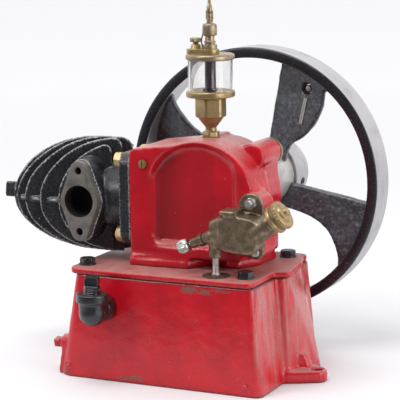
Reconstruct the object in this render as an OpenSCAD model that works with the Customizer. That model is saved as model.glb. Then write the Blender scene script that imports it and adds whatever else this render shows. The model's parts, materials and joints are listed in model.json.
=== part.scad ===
// Small horizontal stationary engine with a finned, air-cooled cylinder, standing on
// a cast tank base, with a bladed flywheel that throws air over the fins.
// Millimetres. X runs along the cylinder with the head at -X, Y along the crankshaft
// with the flywheel at +Y, Z up from the floor. The crank axis crosses X = 0.

/* [Tank base] */
// Height of the tank casting, up to the underside of its cover
tank_h = 96.5; // [95:0.5:98]
// Half of the tank's width at the floor
tank_half_w = 70; // [68:0.5:72]
// How far each long wall leans in by the top
wall_lean = 3.5; // [2:0.5:6]
// Reach of the left end from the crank axis at the floor
tank_left = 127; // [124:0.5:130]
// How far the left end leans in by the top
left_lean = 18; // [14:0.5:20]
// Reach of the flat right end from the crank axis at the floor
tank_right = 77; // [75:0.5:79]
// How far the right end leans in by the top
right_lean = 8.5; // [6:0.5:10]
// Thickness of the bolting foot
foot_t = 11; // [9:0.5:13]
// Diameter of the foot's bolt hole
foot_hole_d = 10; // [8:0.5:11]

/* [Tank cover] */
// Thickness of the cover plate
cover_t = 5.5; // [5:0.1:6]
// Distance of the cover bolts from the middle plane
cover_bolt_y = 49; // [47:0.5:51]
// Size of the cover bolt heads across flats
cover_bolt_af = 12.7; // [12:0.1:13.5]

/* [Crankcase] */
// Height of the crank axis above the floor
crank_z = 165; // [164:0.5:166]
// Radius of the crank chamber
drum_r = 54; // [53:0.5:55]
// Front face of the crankcase, measured from the middle plane
case_front = 35; // [34:0.5:36]
// Rear face of the crankcase, measured from the middle plane
case_rear = 38.5; // [38:0.5:39]
// Width of the raised edge round the sunken front panel
panel_rim = 3; // [2.5:0.5:4]
// Depth of the sunken panel at its deep left side
panel_depth = 10; // [8:0.5:11]

/* [Cylinder] */
// Height of the cylinder axis above the floor
bore_z = 159; // [158:0.5:160]
// Outer radius of the plain barrel under the fins
barrel_r = 25; // [24:0.5:26]
// Spacing of the cooling fins along the cylinder
fin_pitch = 20; // [19.5:0.1:20.5]
// Slant of the fins from the cylinder's axis, in degrees
fin_slant = 25; // [23:0.5:27]
// Thickness of a cooling fin
fin_t = 2.6; // [2.4:0.1:3]
// Diameter of the exhaust bore
exhaust_d = 29.6; // [28:0.1:31]
// Spacing of the two exhaust stud holes
exhaust_spacing = 56.6; // [55:0.1:58]

/* [Flywheel] */
// Outer radius of the flywheel
wheel_r = 127; // [125:0.5:128]
// Thickness of the rim, measured along a radius
rim_t = 10; // [9:0.5:11]
// Width of the rim along the crankshaft
rim_w = 34; // [32:0.5:35]
// Distance from the middle plane to the near face of the rim
rim_y = 90; // [89:0.5:92]
// Rise of each pitched blade for its width
blade_pitch = 0.385; // [0.35:0.005:0.42]
// Thickness of a blade
blade_t = 6; // [5:0.5:7]
// Radius of the crankshaft
shaft_r = 12.5; // [12:0.1:12.7]
// Radius of the belt pulley
pulley_r = 33; // [32:0.5:34]

/* [Oiler] */
// Radius of the sight glass
glass_r = 20.2; // [19.8:0.1:21]
// Height of the sight glass between its two rings
glass_h = 27.5; // [27:0.5:28]
// Lift of the toggle from upright, in degrees
toggle_turn = 0; // [0:1:90]

/* [Hidden] */
$fn = 64;

red = [0.62, 0.04, 0.07];
dusty = [0.6, 0.36, 0.33];
black = [0.12, 0.12, 0.13];
bare = [0.45, 0.44, 0.42];
steel = [0.72, 0.72, 0.7];
brass = [0.68, 0.56, 0.33];
bronze = [0.42, 0.35, 0.26];

toggle_z = 326.5;
stud_y = 25;
stud_z = [128, 197];
fin_w = 33.5;
needle_lean = -112;
cover_top = tank_h + cover_t;
rim_in = wheel_r - rim_t;
rim_back = rim_y + rim_w;
glass_z = 261;
glass_top = glass_z + glass_h;
lid_z = glass_top + 5.5;

// A cylinder that runs along +X from the point given.
module along_x(x, y, z, r, l) {
  translate([x, y, z])
    rotate([0, 90, 0])
      cylinder(r = r, h = l);
}

// A cylinder that runs along +Y from the point given.
module along_y(x, y, z, r, l) {
  translate([x, y, z])
    rotate([-90, 0, 0])
      cylinder(r = r, h = l);
}

// An outline drawn in X and Z, made solid along +Y.
module slab_y(y, l) {
  translate([0, y + l, 0])
    rotate([90, 0, 0])
      linear_extrude(l)
        children();
}

// An outline drawn in Y and Z, made solid along +X.
module slab_x(x, l) {
  translate([x, 0, 0])
    rotate([90, 0, 90])
      linear_extrude(l)
        children();
}

// A hexagonal prism standing on Z, sized across flats.
module hex(af, h) {
  cylinder(d = af / cos(30), h = h, $fn = 6);
}

// One upright corner post used to shape the tank walls.
module post(x, y, z, r) {
  translate([x, y, z])
    cylinder(r = r, h = 0.5, $fn = 48);
}

// Points of a smooth curve through p, with n steps between neighbours.
function smooth(p, n) = [
  for (i = [0 : len(p) - 2], k = [0 : n - 1])
    let (
      a = p[max(i - 1, 0)],
      b = p[i],
      c = p[i + 1],
      d = p[min(i + 2, len(p) - 1)],
      t = k / n
    )
    0.5 * (2 * b + (c - a) * t + (2 * a - 5 * b + 4 * c - d) * t * t
      + (3 * b - a - 3 * c + d) * t * t * t)
];

module tank_base() {
  color(red)
    difference() {
      union() {
        // The tapered tank body.
        hull() {
          for (s = [-1, 1]) {
            post(14 - tank_left, s * (tank_half_w - 14), 0, 14);
            post(tank_right - 7, s * (tank_half_w - 7), 0, 7);
            post(left_lean + 8 - tank_left, s * (tank_half_w - wall_lean - 8), tank_h - 0.5, 8);
            post(tank_right - right_lean - 5, s * (tank_half_w - wall_lean - 5), tank_h - 0.5, 5);
          }
        }
        // The deep rounded column that carries the right-hand foot.
        hull() {
          post(71, -8, tank_h - 0.5, 6);
          post(67, 34, tank_h - 0.5, 4);
          post(62, 50, tank_h - 0.5, 4);
          post(76.5, -8.5, 0, 7);
          post(85, 38, 0, 6);
          post(72, 58, 0, 5);
        }
        // The foot.
        hull() {
          translate([100.5, 4, 0])
            cylinder(r = 9.5, h = foot_t, $fn = 48);
          translate([76, -18, 0])
            cube([4, 44, foot_t]);
        }
        hull() {
          translate([84, 6, 0])
            cylinder(r = 7, h = 24, $fn = 48);
          translate([90, 6, 0])
            cylinder(r = 5, h = foot_t + 1, $fn = 48);
        }
        // The rib at the left end, and the boss of the drain hole.
        slab_y(-64, 13)
          polygon([[-130, 0], [-112, 0], [-112, 32], [-124.5, 32]]);
        along_x(-126, -57, 28, 8.5, 14);
      }
      translate([100.5, 4, -1])
        cylinder(d = foot_hole_d, h = 40, $fn = 48);
      // The drain's seat, and the seat of the filler elbow.
      along_x(-127, -57, 28, 5.1, 12);
      along_y(-76, -71, 69, 9.1, 12);
      // Tapped holes under the cover bolts.
      for (x = [-104, 54.5], s = [-1, 1]) {
        translate([x, s * cover_bolt_y, tank_h - 14])
          cylinder(r = 4.1, h = 15);
      }
    }
}

module cover_outline() {
  hull() {
    for (s = [-1, 1]) {
      translate([-105, s * 59])
        circle(r = 9);
      translate([60, s * 60])
        circle(r = 8);
    }
  }
  hull() {
    translate([75.5, -8])
      circle(r = 5.5);
    translate([71.5, 30])
      circle(r = 4);
    translate([63, 52])
      circle(r = 5);
    translate([60, -14])
      circle(r = 5);
  }
}

module tank_cover_plate() {
  color(dusty)
    difference() {
      translate([0, 0, tank_h])
        linear_extrude(cover_t)
          cover_outline();
      for (x = [-104, 54.5], s = [-1, 1]) {
        translate([x, s * cover_bolt_y, tank_h - 1])
          cylinder(r = 4.1, h = cover_t + 2);
      }
    }
}

module cover_bolts() {
  color(black)
    for (x = [-104, 54.5], s = [-1, 1]) {
      translate([x, s * cover_bolt_y, cover_top]) {
        cylinder(r = 8, h = 1.2);
        translate([0, 0, 1.2])
          rotate(s * 12 + x / 5)
            hex(cover_bolt_af, 5.3);
        translate([0, 0, -18])
          cylinder(r = 4, h = 18);
      }
    }
}

module filler_elbow() {
  color(black)
    difference() {
      union() {
        // Upright leg with its thick collar.
        translate([-76, -92, 69])
          cylinder(r = 12, h = 12);
        translate([-76, -92, 79])
          cylinder(r = 14.4, h = 7.5);
        // The bend, and the level leg with its collar against the tank.
        translate([-76, -92, 69])
          sphere(r = 12.2);
        along_y(-76, -92, 69, 10.5, 14);
        along_y(-76, -80, 69, 11.5, 11.4);
        along_y(-76, -70, 69, 9, 10);
      }
      translate([-76, -92, 70])
        cylinder(r = 7.6, h = 30);
    }
}

module filler_plug() {
  color(black) {
    translate([-76, -92, 72])
      cylinder(r = 7.5, h = 21);
    translate([-76, -92, 97])
      rotate(20)
        cube([13, 13, 10], center = true);
  }
}

module drain_plug() {
  color(red) {
    along_x(-130, -57, 28, 5, 14);
    translate([-132.5, -57, 28])
      rotate([12, 0, 0])
        cube([6, 8, 8], center = true);
  }
}

module case_profile() {
  // Crank chamber, with the neck that reaches left to the cylinder.
  translate([2, crank_z])
    circle(r = drum_r);
  translate([-66.5, 110])
    square([60, 95]);
  translate([-60, 203])
    circle(r = 6.5);
  polygon([[-66.5, 203], [-60, 209.5], [-10, 216], [2, 216], [2, 150], [-66.5, 150]]);
  translate([-66.5, 110])
    square([110, 40]);
}

module panel_profile() {
  // Sunken panel: an arch over the crank, and a lower left part with round corners.
  intersection() {
    union() {
      translate([0, crank_z])
        circle(r = drum_r - panel_rim);
      hull() {
        for (z = [139, 175]) {
          translate([-37, z])
            circle(r = 15);
        }
        translate([20, 124])
          square([18, 42]);
      }
    }
    translate([-60, 124])
      square([98, 100]);
  }
}

module crankcase() {
  color(red)
    difference() {
      union() {
        slab_y(-case_front, case_front + 6)
          case_profile();
        // Rear half, a little smaller round the crank.
        intersection() {
          slab_y(0, case_rear)
            case_profile();
          union() {
            along_y(2, -1, crank_z, drum_r - 3, case_rear + 2);
            translate([-70, -1, 100])
              cube([72, case_rear + 2, 120]);
            translate([-70, -1, 100])
              cube([118, case_rear + 2, 52]);
          }
        }
        // Right-hand wall, and the long boss along its top.
        translate([34, 6, 112])
          cube([16, case_rear - 6, 92]);
        along_y(40.5, -5, 202, 12.5, case_rear + 5);
        // Facing for the mixer flange.
        slab_y(-case_front, 26)
          hull() {
            translate([53.7, 163.5])
              circle(r = 11.5);
            translate([58, 126])
              circle(r = 9);
            translate([40, 126])
              circle(r = 8);
          }
      }
      // Sunken panel, deep at the left, where a sloping wall rises to z = 187, and
      // shallow at the right.
      intersection() {
        slab_y(-case_front - 1, 20)
          panel_profile();
        union() {
          translate([0, 0, 100])
            linear_extrude(87)
              polygon([
                [-53.6, -case_front - 2], [60, -case_front - 2], [60, -case_front + 3],
                [-38, -case_front + panel_depth]
              ]);
          translate([0, 0, 187])
            linear_extrude(53)
              polygon([
                [-53.6, -case_front - 2], [60, -case_front - 2], [60, -case_front + 3],
                [-38, -case_front + panel_depth], [-53.6, -case_front + panel_depth]
              ]);
        }
      }
      // Seats of the oiler, the brass screw and the mixer's two screws.
      translate([0, 0, 200])
        cylinder(r = 5.1, h = 30);
      translate([0, 0, 216])
        cylinder(r = 8.5, h = 20);
      along_y(-52, -case_front - 1, 196, 3.1, 9);
      along_y(56.6, -case_front - 1, 167.4, 3.1, 13);
      along_y(60, -case_front - 1, 123.6, 2.6, 11);
      // Clears the cover below.
      translate([-80, -60, 80])
        cube([160, 120, 32]);
    }
}

module foot_outline(grow) {
  polygon([
    [-66.5, -37 - grow], [-8, -35 - grow], [4, -10 - grow], [12, -10 - grow],
    [24, -19 - grow], [34, -17 - grow], [44 + grow, 2], [46 + grow, case_rear],
    [-66.5, case_rear]
  ]);
}

module crankcase_foot() {
  color(red) {
    translate([0, 0, cover_top])
      linear_extrude(6)
        foot_outline(1.5);
    translate([0, 0, cover_top + 6])
      linear_extrude(4)
        foot_outline(0);
  }
}

module case_screw() {
  color(brass) {
    along_y(-52, -case_front, 196, 3, 7);
    difference() {
      along_y(-52, -case_front - 2.5, 196, 3.8, 2.5);
      translate([-52, -case_front - 2.5, 196])
        cube([1, 2, 12], center = true);
    }
  }
}

module boss_ring() {
  color(brass)
    difference() {
      along_y(40.5, case_rear, 202, 12.5, 3.5);
      along_y(40.5, case_rear - 1, 202, 7, 6);
    }
}

module main_bearing() {
  color(red)
    difference() {
      union() {
        along_y(0, case_rear, crank_z, 36, 8);
        along_y(0, case_rear, crank_z, 24, 45.5);
      }
      along_y(0, case_rear - 1, crank_z, shaft_r + 0.06, 50);
    }
}

module flange_outline() {
  hull() {
    for (sy = [-1, 1], z = [131, 192]) {
      translate([sy * 23, z])
        circle(r = 12);
    }
  }
}

// The barrel without its fins, closed by a domed head.
module plain_barrel() {
  translate([-76, 0, bore_z])
    rotate([0, -90, 0])
      rotate_extrude()
        polygon(concat(
          [[0, 0], [barrel_r + 6.5, 0], [barrel_r + 6.5, 22], [barrel_r, 32]],
          [for (a = [0 : 6 : 90]) [barrel_r * cos(a), 74 + 46 * sin(a)]]
        ));
}

module cylinder_barrel() {
  color(black)
    difference() {
      union() {
        // The square flange against the crankcase.
        slab_x(-77.5, 11)
          flange_outline();
        plain_barrel();
      }
      along_x(-199, 0, bore_z - 1, 6.1, 16);
      along_y(-113, -60, 159.5, exhaust_d / 2, 33);
      for (sy = [-1, 1], z = stud_z) {
        along_x(-80, sy * stud_y, z, 3.6, 15);
      }
    }
}

// Half width of the fins' envelope at x, round at the head.
function fin_reach(x) =
  x > -160 ? fin_w : fin_w * pow(1 - pow(min(1, (-160 - x) / 42), 2.7), 1 / 2.7);

// Share of the full fin height at x, y: lower round the head and towards the sides.
function fin_share(x, y, n) =
  (x < -115 ? sqrt(max(0, 1 - pow((x + 115) / 87, 2))) : 1)
    * pow(max(0, 1 - pow(abs(y) / max(fin_reach(x), 0.01), n)), 1 / n);

// Where a fin that crosses the middle plane at x0 leaves the envelope, found by
// halving the stretch between lo (outside) and hi (inside).
function fin_end(x0, lo, hi, n = 14) =
  n == 0 ? hi :
  let (
    m = (lo + hi) / 2,
    inside = abs(m * sin(fin_slant)) < fin_reach(x0 + m * cos(fin_slant))
  )
  inside ? fin_end(x0, lo, m, n - 1) : fin_end(x0, m, hi, n - 1);

// Drop of a fin's rounded upper corner, at u from its right-hand end.
function fin_corner(u) = u < -9 ? 0 : 9 - sqrt(max(0, 81 - pow(u + 9, 2)));

// The two-lobed outline of the exhaust port and its flange.
module exhaust_outline(grow) {
  hull() {
    translate([-113, 159.5])
      circle(r = 19 + grow);
    for (s = [-1, 1]) {
      translate([-113, 159.5 + s * exhaust_spacing / 2])
        circle(r = 8.6 + grow);
    }
  }
}

// Outline of that fin along its own plane, fuller below than above.
function fin_points(x0) =
  let (
    lo = fin_end(x0, -100, 0),
    hi = min(
      (-91 - x0) / (cos(fin_slant) - 0.43 * sin(fin_slant)),
      (-84 - x0) / cos(fin_slant),
      fin_w / sin(fin_slant)
    ),
    steps = [for (t = [0 : 6 : 180]) lo + (hi - lo) * (1 - cos(t)) / 2],
    lower = [for (i = [1 : len(steps) - 1]) steps[len(steps) - 1 - i]]
  )
  concat(
    [for (u = steps)
      [u, bore_z - 2 + max(1.7, 57 * fin_share(x0 + u * cos(fin_slant), u * sin(fin_slant), 2.1)
        - fin_corner(u - hi))]],
    [for (u = concat([hi], lower))
      [u, bore_z - 2 - max(1.5, 50.5 * fin_share(x0 + u * cos(fin_slant), u * sin(fin_slant), 2.4))]]
  );

module cooling_fins() {
  color(black)
    difference() {
      union() {
        for (x0 = [-190 : fin_pitch : -70]) {
          translate([x0, 0, 0])
            rotate([0, 0, fin_slant])
              slab_y(-fin_t / 2, fin_t)
                polygon(fin_points(x0));
        }
        // The level rib that ties the fins together round the head.
        translate([0, 0, bore_z - 4])
          linear_extrude(2.6)
            polygon(concat(
              [for (t = [-90 : 6 : 90])
                [-160 - 41 * pow(cos(t), 2 / 2.7),
                  (fin_w - 1) * sign(t) * pow(abs(sin(t)), 2 / 2.7)]],
              [[-84, fin_w - 1], [-104, 1 - fin_w]]
            ));
      }
      plain_barrel();
      // Room for the exhaust port, the stud nuts and the head plug.
      slab_y(-60, 51)
        exhaust_outline(1);
      for (sy = [-1, 1], z = stud_z) {
        along_x(-92, sy * stud_y, z, 9, 15);
      }
      along_x(-215, 0, bore_z - 1, 8.8, 16);
      along_x(-200, 0, bore_z - 1, 6.1, 17);
    }
}

module exhaust_port() {
  color(black)
    difference() {
      slab_y(-39, 30)
        exhaust_outline(1);
      along_y(-113, -40, 159.5, exhaust_d / 2, 13);
      plain_barrel();
    }
}

module exhaust_flange() {
  color(bare)
    difference() {
      slab_y(-47, 8)
        exhaust_outline(0);
      along_y(-113, -48, 159.5, exhaust_d / 2, 10);
      for (s = [-1, 1]) {
        along_y(-113, -48, 159.5 + s * exhaust_spacing / 2, 3.6, 10);
      }
    }
}

module cylinder_nuts() {
  color(brass)
    for (sy = [-1, 1], z = stud_z) {
      translate([-77.5, sy * stud_y, z])
        rotate([0, -90, 0]) {
          rotate(15)
            hex(13, 6.5);
          translate([0, 0, -11])
            cylinder(r = 3.5, h = 19.5);
        }
    }
}

module head_plug() {
  color(black) {
    along_x(-208, 0, bore_z - 1, 8.5, 7);
    along_x(-201, 0, bore_z - 1, 6, 17);
    translate([-211.6, 0, bore_z - 1])
      rotate([8, 0, 0])
        cube([9, 14, 14.5], center = true);
  }
}

module mixer_flange() {
  color(bronze)
    difference() {
      slab_y(-39, 4)
        hull() {
          translate([55, 164.5])
            circle(r = 11.5);
          translate([60, 124])
            circle(r = 7);
          translate([46, 140])
            circle(r = 8);
        }
      along_y(56.6, -40, 167.4, 3.1, 6);
      along_y(60, -40, 123.6, 2.6, 6);
    }
}

module mixer_body() {
  color(bronze)
    difference() {
      union() {
        // Main chamber.
        hull() {
          along_y(44, -60, 148, 11, 21);
          along_y(60, -60, 146, 11, 21);
          along_y(42, -60, 134, 8, 21);
          along_y(60, -60, 134, 9, 21);
        }
        // Upright stub on the left, and the arm that carries the needle.
        translate([26.7, -51, 119])
          cylinder(r = 5.9, h = 16);
        hull() {
          translate([27, -51, 131])
            cylinder(r = 6, h = 20);
          translate([38, -51, 128])
            cylinder(r = 8, h = 28);
        }
        translate([32, -51, 141.35])
          rotate([0, needle_lean, 0])
            cylinder(r1 = 8, r2 = 5, h = 18);
        // The branch that rises to the air cap.
        translate([62, -51, 141])
          rotate([0, 54, 0])
            cylinder(r = 10, h = 25);
      }
      translate([26.7, -51, 117])
        cylinder(r = 3.05, h = 16);
      // Leaves room for the head of the lower screw.
      along_y(60, -43, 123.6, 5, 5);
    }
}

module mixer_cover() {
  color(bronze) {
    translate([34, -61, 159])
      cube([16, 20, 4]);
  }
}

module mixer_bolt() {
  color(steel) {
    along_y(56.6, -39, 167.4, 3, 15);
    translate([56.6, -39, 167.4])
      rotate([90, 12, 0])
        hex(9.6, 5);
    along_y(56.6, -47, 167.4, 3, 8);
  }
}

module mixer_screw() {
  color(steel) {
    along_y(60, -39, 123.6, 2.5, 13);
    along_y(60, -42, 123.6, 3.8, 3);
  }
}

module air_cap() {
  color(brass)
    translate([82.2, -51, 155.7])
      rotate([0, 54, 0]) {
        cylinder(r = 13, h = 4.5);
        translate([0, 0, 4.5])
          cylinder(r = 11.5, h = 3);
        translate([0, 0, 7.5])
          cylinder(r = 13.5, h = 4.5);
        translate([0, 0, 12])
          cylinder(r = 9, h = 2);
        translate([0, 0, 14])
          cylinder(r = 4, h = 3);
      }
}

module needle_gland() {
  color(bronze)
    translate([15.3, -51, 134.6])
      rotate([0, needle_lean, 0])
        difference() {
          cylinder(r = 5.6, h = 13);
          translate([0, 0, 2])
            cylinder(r = 2.06, h = 12);
        }
}

module needle_knob() {
  color(steel)
    translate([15.3, -51, 134.6])
      rotate([0, needle_lean, 0]) {
        translate([0, 0, 3])
          cylinder(r = 2, h = 16);
        translate([0, 0, 21])
          sphere(r = 6.5);
      }
}

module lift_rod() {
  color(steel) {
    translate([26.7, -51, cover_top + 1])
      cylinder(r = 3, h = 29);
    translate([26.7, -51, cover_top])
      cylinder(r = 12.5, h = 1);
  }
}

module oiler_shank() {
  color(brass) {
    translate([0, 0, 205])
      cylinder(r = 5, h = 12);
    translate([0, 0, 216])
      hex(14.4, 8);
    translate([0, 0, 223.5])
      cylinder(r = 5.2, h = 4.5);
  }
}

module oiler_body() {
  color(brass) {
    translate([0, 0, 228])
      cylinder(r1 = 5.4, r2 = 12.5, h = 9);
    translate([0, 0, 236.5])
      rotate(5)
        hex(25.4, 19);
    translate([0, 0, 255])
      cylinder(r = 22.2, h = 6);
  }
}

module oiler_glass() {
  color([0.8, 0.85, 0.85, 0.4])
    translate([0, 0, glass_z])
      difference() {
        cylinder(r = glass_r, h = glass_h);
        translate([0, 0, -1])
          cylinder(r = glass_r - 2, h = glass_h + 2);
      }
}

module oiler_tube() {
  color(bare)
    translate([0, 0, glass_z])
      cylinder(r = 5, h = glass_h);
}

module oiler_top_ring() {
  color(brass)
    translate([0, 0, glass_top])
      cylinder(r = 22.2, h = lid_z - glass_top);
}

module oiler_lid() {
  color(brass)
    translate([0, 0, lid_z]) {
      linear_extrude(4)
        hull() {
          circle(r = 8.5);
          translate([-14, 0])
            circle(r = 8.5);
        }
      translate([-14, 0, 4])
        cylinder(r1 = 5.4, r2 = 4, h = 4);
    }
}

module lid_screw() {
  color(brass)
    translate([-14, 0, lid_z + 8]) {
      cylinder(r = 2.5, h = 2);
      translate([0, 0, 2])
        cylinder(r = 5.5, h = 4);
    }
}

module feed_nut() {
  color(brass)
    translate([0, 0, 310])
      difference() {
        cylinder(r = 6.6, h = 11);
        translate([0, 0, -1])
          cylinder(r = 2.86, h = 13);
      }
}

module feed_spindle() {
  color(brass)
    difference() {
      union() {
        translate([0, 0, lid_z + 4])
          cylinder(r = 4.3, h = 309.7 - lid_z - 4);
        translate([0, 0, lid_z + 4])
          cylinder(r = 6.5, h = 4);
        translate([0, 0, 309])
          cylinder(r = 2.8, h = 21);
      }
      // Slot of the fork that holds the toggle.
      translate([-4, -1.3, toggle_z - 4])
        cube([8, 2.6, 12]);
      along_y(0, -4, toggle_z, 0.86, 8);
    }
}

module feed_toggle() {
  color(brass)
    translate([0, 0, toggle_z])
      rotate([0, toggle_turn, 0]) {
        along_y(0, -2.7, 0, 0.8, 5.4);
        translate([-3.2, -1.15, -2])
          cube([6.4, 2.3, 8]);
        translate([0, 0, 4.5])
          cylinder(r = 2.6, h = 5);
        translate([0, 0, 9.5])
          cylinder(r1 = 2.6, r2 = 1.6, h = 1.5);
        translate([0, 0, 11])
          cylinder(r = 1.6, h = 4.5);
      }
}

module click_spring() {
  color(brass) {
    translate([-8.4, -2, lid_z + 4])
      cube([0.8, 4, 17]);
    translate([-8.4, -2, lid_z + 4])
      cube([1.7, 4, 0.8]);
  }
}

module crankshaft() {
  color(steel)
    along_y(0, case_rear + 0.5, crank_z, shaft_r, 119);
}

module flywheel_rim() {
  color(black)
    difference() {
      along_y(0, rim_y, crank_z, wheel_r, rim_w, $fn = 128);
      along_y(0, rim_y - 1, crank_z, rim_in, rim_w + 2, $fn = 128);
    }
}

// Turns a radius and an angle into a point in X and Z.
function spoke(r, a) = [r * cos(a), r * sin(a)];

// Outline of one blade: straight trailing edge, waisted leading edge.
plain_blade = concat(
  [spoke(24, 79.5), spoke(rim_in + 4, 79.5)],
  [for (a = [74 : -6 : 44]) spoke(rim_in + 4, a)],
  smooth([spoke(rim_in + 4, 44), spoke(112, 50), spoke(93, 55), spoke(78, 57),
    spoke(64, 56), spoke(48, 50), spoke(30, 30), spoke(24, 20)], 5),
  [spoke(24, 20)]
);

// The blade that carries the starting pin has a wide lobe.
pin_blade = concat(
  [spoke(24, 79.5), spoke(rim_in + 4, 79.5)],
  [for (a = [74 : -6 : 44]) spoke(rim_in + 4, a)],
  smooth([spoke(rim_in + 4, 44), spoke(113, 50), spoke(99, 45.5), spoke(83, 42),
    spoke(63, 41), spoke(46, 44.7), spoke(30, 30), spoke(24, 20)], 5),
  [spoke(24, 20)]
);

module blade(outline) {
  intersection() {
    slab_y(rim_y - 2, rim_w + 10)
      polygon(outline);
    rotate([0, -79.5, 0])
      rotate([-atan(blade_pitch), 0, 0])
        translate([0, 118 * cos(atan(blade_pitch)), -100])
          cube([140, blade_t, 200]);
  }
}

module flywheel_blades() {
  color(black)
    translate([0, 0, crank_z])
      difference() {
        intersection() {
          union() {
            blade(pin_blade);
            for (k = [1 : 3]) {
              rotate([0, 90 * k, 0])
                blade(plain_blade);
            }
          }
          along_y(0, 80, 0, rim_in, 60, $fn = 128);
        }
        along_y(0, 80, 0, 30, 60);
        along_y(51.8, 80, 87.6, 5.75, 60);
      }
}

module flywheel_hub() {
  color(black)
    difference() {
      along_y(0, 86, crank_z, 30, 40);
      along_y(0, 80, crank_z, shaft_r, 60);
    }
}

module starting_pin() {
  color(brass) {
    along_y(51.8, 100, crank_z + 87.6, 5.7, 16);
  }
}

module belt_pulley() {
  color(bare)
    difference() {
      along_y(0, 126, crank_z, pulley_r, 30);
      along_y(0, 120, crank_z, shaft_r, 40);
      translate([0, 142, crank_z])
        rotate([0, 13, 0])
          along_x(14, 0, 0, 4, 30);
    }
}

module pulley_screw() {
  color(black)
    translate([0, 142, crank_z])
      rotate([0, 13, 0])
        translate([16, 0, 0])
          rotate([0, 90, 0])
            cylinder(r = 3.9, h = pulley_r - 16.4);
}

tank_base();
tank_cover_plate();
cover_bolts();
filler_elbow();
filler_plug();
drain_plug();
crankcase();
crankcase_foot();
case_screw();
boss_ring();
main_bearing();
cylinder_barrel();
cooling_fins();
exhaust_port();
exhaust_flange();
cylinder_nuts();
head_plug();
mixer_body();
mixer_cover();
mixer_flange();
mixer_bolt();
mixer_screw();
air_cap();
needle_gland();
needle_knob();
lift_rod();
oiler_shank();
oiler_body();
oiler_glass();
oiler_tube();
oiler_top_ring();
oiler_lid();
lid_screw();
feed_nut();
feed_spindle();
feed_toggle();
click_spring();
crankshaft();
flywheel_rim();
flywheel_blades();
flywheel_hub();
starting_pin();
belt_pulley();
pulley_screw();
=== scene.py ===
import json
import math

import bmesh
import bpy
import numpy as np
from bpy.props import FloatProperty, FloatVectorProperty, IntProperty, PointerProperty
from mathutils import Matrix, Vector, noise
from mathutils.bvhtree import BVHTree


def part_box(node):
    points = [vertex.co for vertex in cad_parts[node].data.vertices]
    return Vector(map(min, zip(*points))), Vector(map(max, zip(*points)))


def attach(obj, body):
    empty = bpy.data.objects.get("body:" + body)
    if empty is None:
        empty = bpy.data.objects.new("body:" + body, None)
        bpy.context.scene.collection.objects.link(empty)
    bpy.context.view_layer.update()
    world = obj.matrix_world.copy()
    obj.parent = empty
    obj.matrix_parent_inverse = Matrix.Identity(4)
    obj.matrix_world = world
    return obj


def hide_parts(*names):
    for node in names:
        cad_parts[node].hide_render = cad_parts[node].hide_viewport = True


bl_info = {
    "name": "Stationary Engine Looks",
    "version": (1, 0, 0),
    "blender": (4, 5, 0),
    "location": "View3D > Sidebar > Engine",
    "description": "Dresses the packed solids of a small air-cooled stationary engine",
    "category": "Object",
}

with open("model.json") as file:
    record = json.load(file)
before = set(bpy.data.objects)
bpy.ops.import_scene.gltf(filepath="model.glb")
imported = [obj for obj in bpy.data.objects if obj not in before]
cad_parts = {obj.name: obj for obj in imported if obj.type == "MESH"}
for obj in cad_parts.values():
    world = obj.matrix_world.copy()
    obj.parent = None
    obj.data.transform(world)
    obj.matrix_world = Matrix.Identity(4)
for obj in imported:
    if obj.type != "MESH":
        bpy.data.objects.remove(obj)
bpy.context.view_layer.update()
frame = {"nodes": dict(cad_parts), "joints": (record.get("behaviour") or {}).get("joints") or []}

MM = 0.001
MOST_TRIANGLES = 190000  # the most triangles for one piece; for one piece, a little under what a piece may have
JOINTS = {joint["name"]: joint for joint in frame["joints"]}
CRANK = Vector(JOINTS["flywheel_spin"]["pos_m"])
NEEDLE = Vector(JOINTS["needle_turn"]["pos_m"])
NEEDLE_LINE = Vector(JOINTS["needle_turn"]["axis"])
UP = Vector((0, 0, 1))
LEFT = Vector((-1, 0, 0))
RIGHT = Vector((1, 0, 0))
FRONT = Vector((0, -1, 0))
BACK = Vector((0, 1, 0))


def linear(hex_colour):
    """An sRGB hex colour as linear red, green, blue and a full alpha."""
    parts = [int(hex_colour[i : i + 2], 16) / 255 for i in (1, 3, 5)]
    return [p / 12.92 if p <= 0.04045 else ((p + 0.055) / 1.055) ** 2.4 for p in parts] + [1.0]


def colour(name, description, hex_colour):
    """A colour that the user can change in the sidebar."""
    return FloatVectorProperty(
        name=name, description=description, subtype="COLOR", size=3, min=0, max=1,
        default=linear(hex_colour)[:3],
    )


# --- Sizes and colours -------------------------------------------------------------------


class EngineSizes(bpy.types.PropertyGroup):
    """How finely the castings are modelled and how rough they are."""

    cast_cell: FloatProperty(
        name="Casting cell", description="Cell size of the large castings, in mm",
        default=1.4, min=0.9, max=3.0,
    )
    fin_cell: FloatProperty(
        name="Fin cell", description="Cell size of the finned cylinder, in mm",
        default=1.0, min=0.8, max=2.0,
    )
    fitting_cell: FloatProperty(
        name="Fitting cell", description="Cell size of the small castings, in mm",
        default=0.8, min=0.5, max=2.0,
    )
    cast_waviness: FloatProperty(
        name="Casting waviness", description="Depth of the uneven cast surface, in mm",
        default=0.35, min=0.0, max=1.0,
    )
    turned_steps: IntProperty(
        name="Turned steps", description="Facets round a turned part",
        default=120, min=60, max=240,
    )


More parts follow.
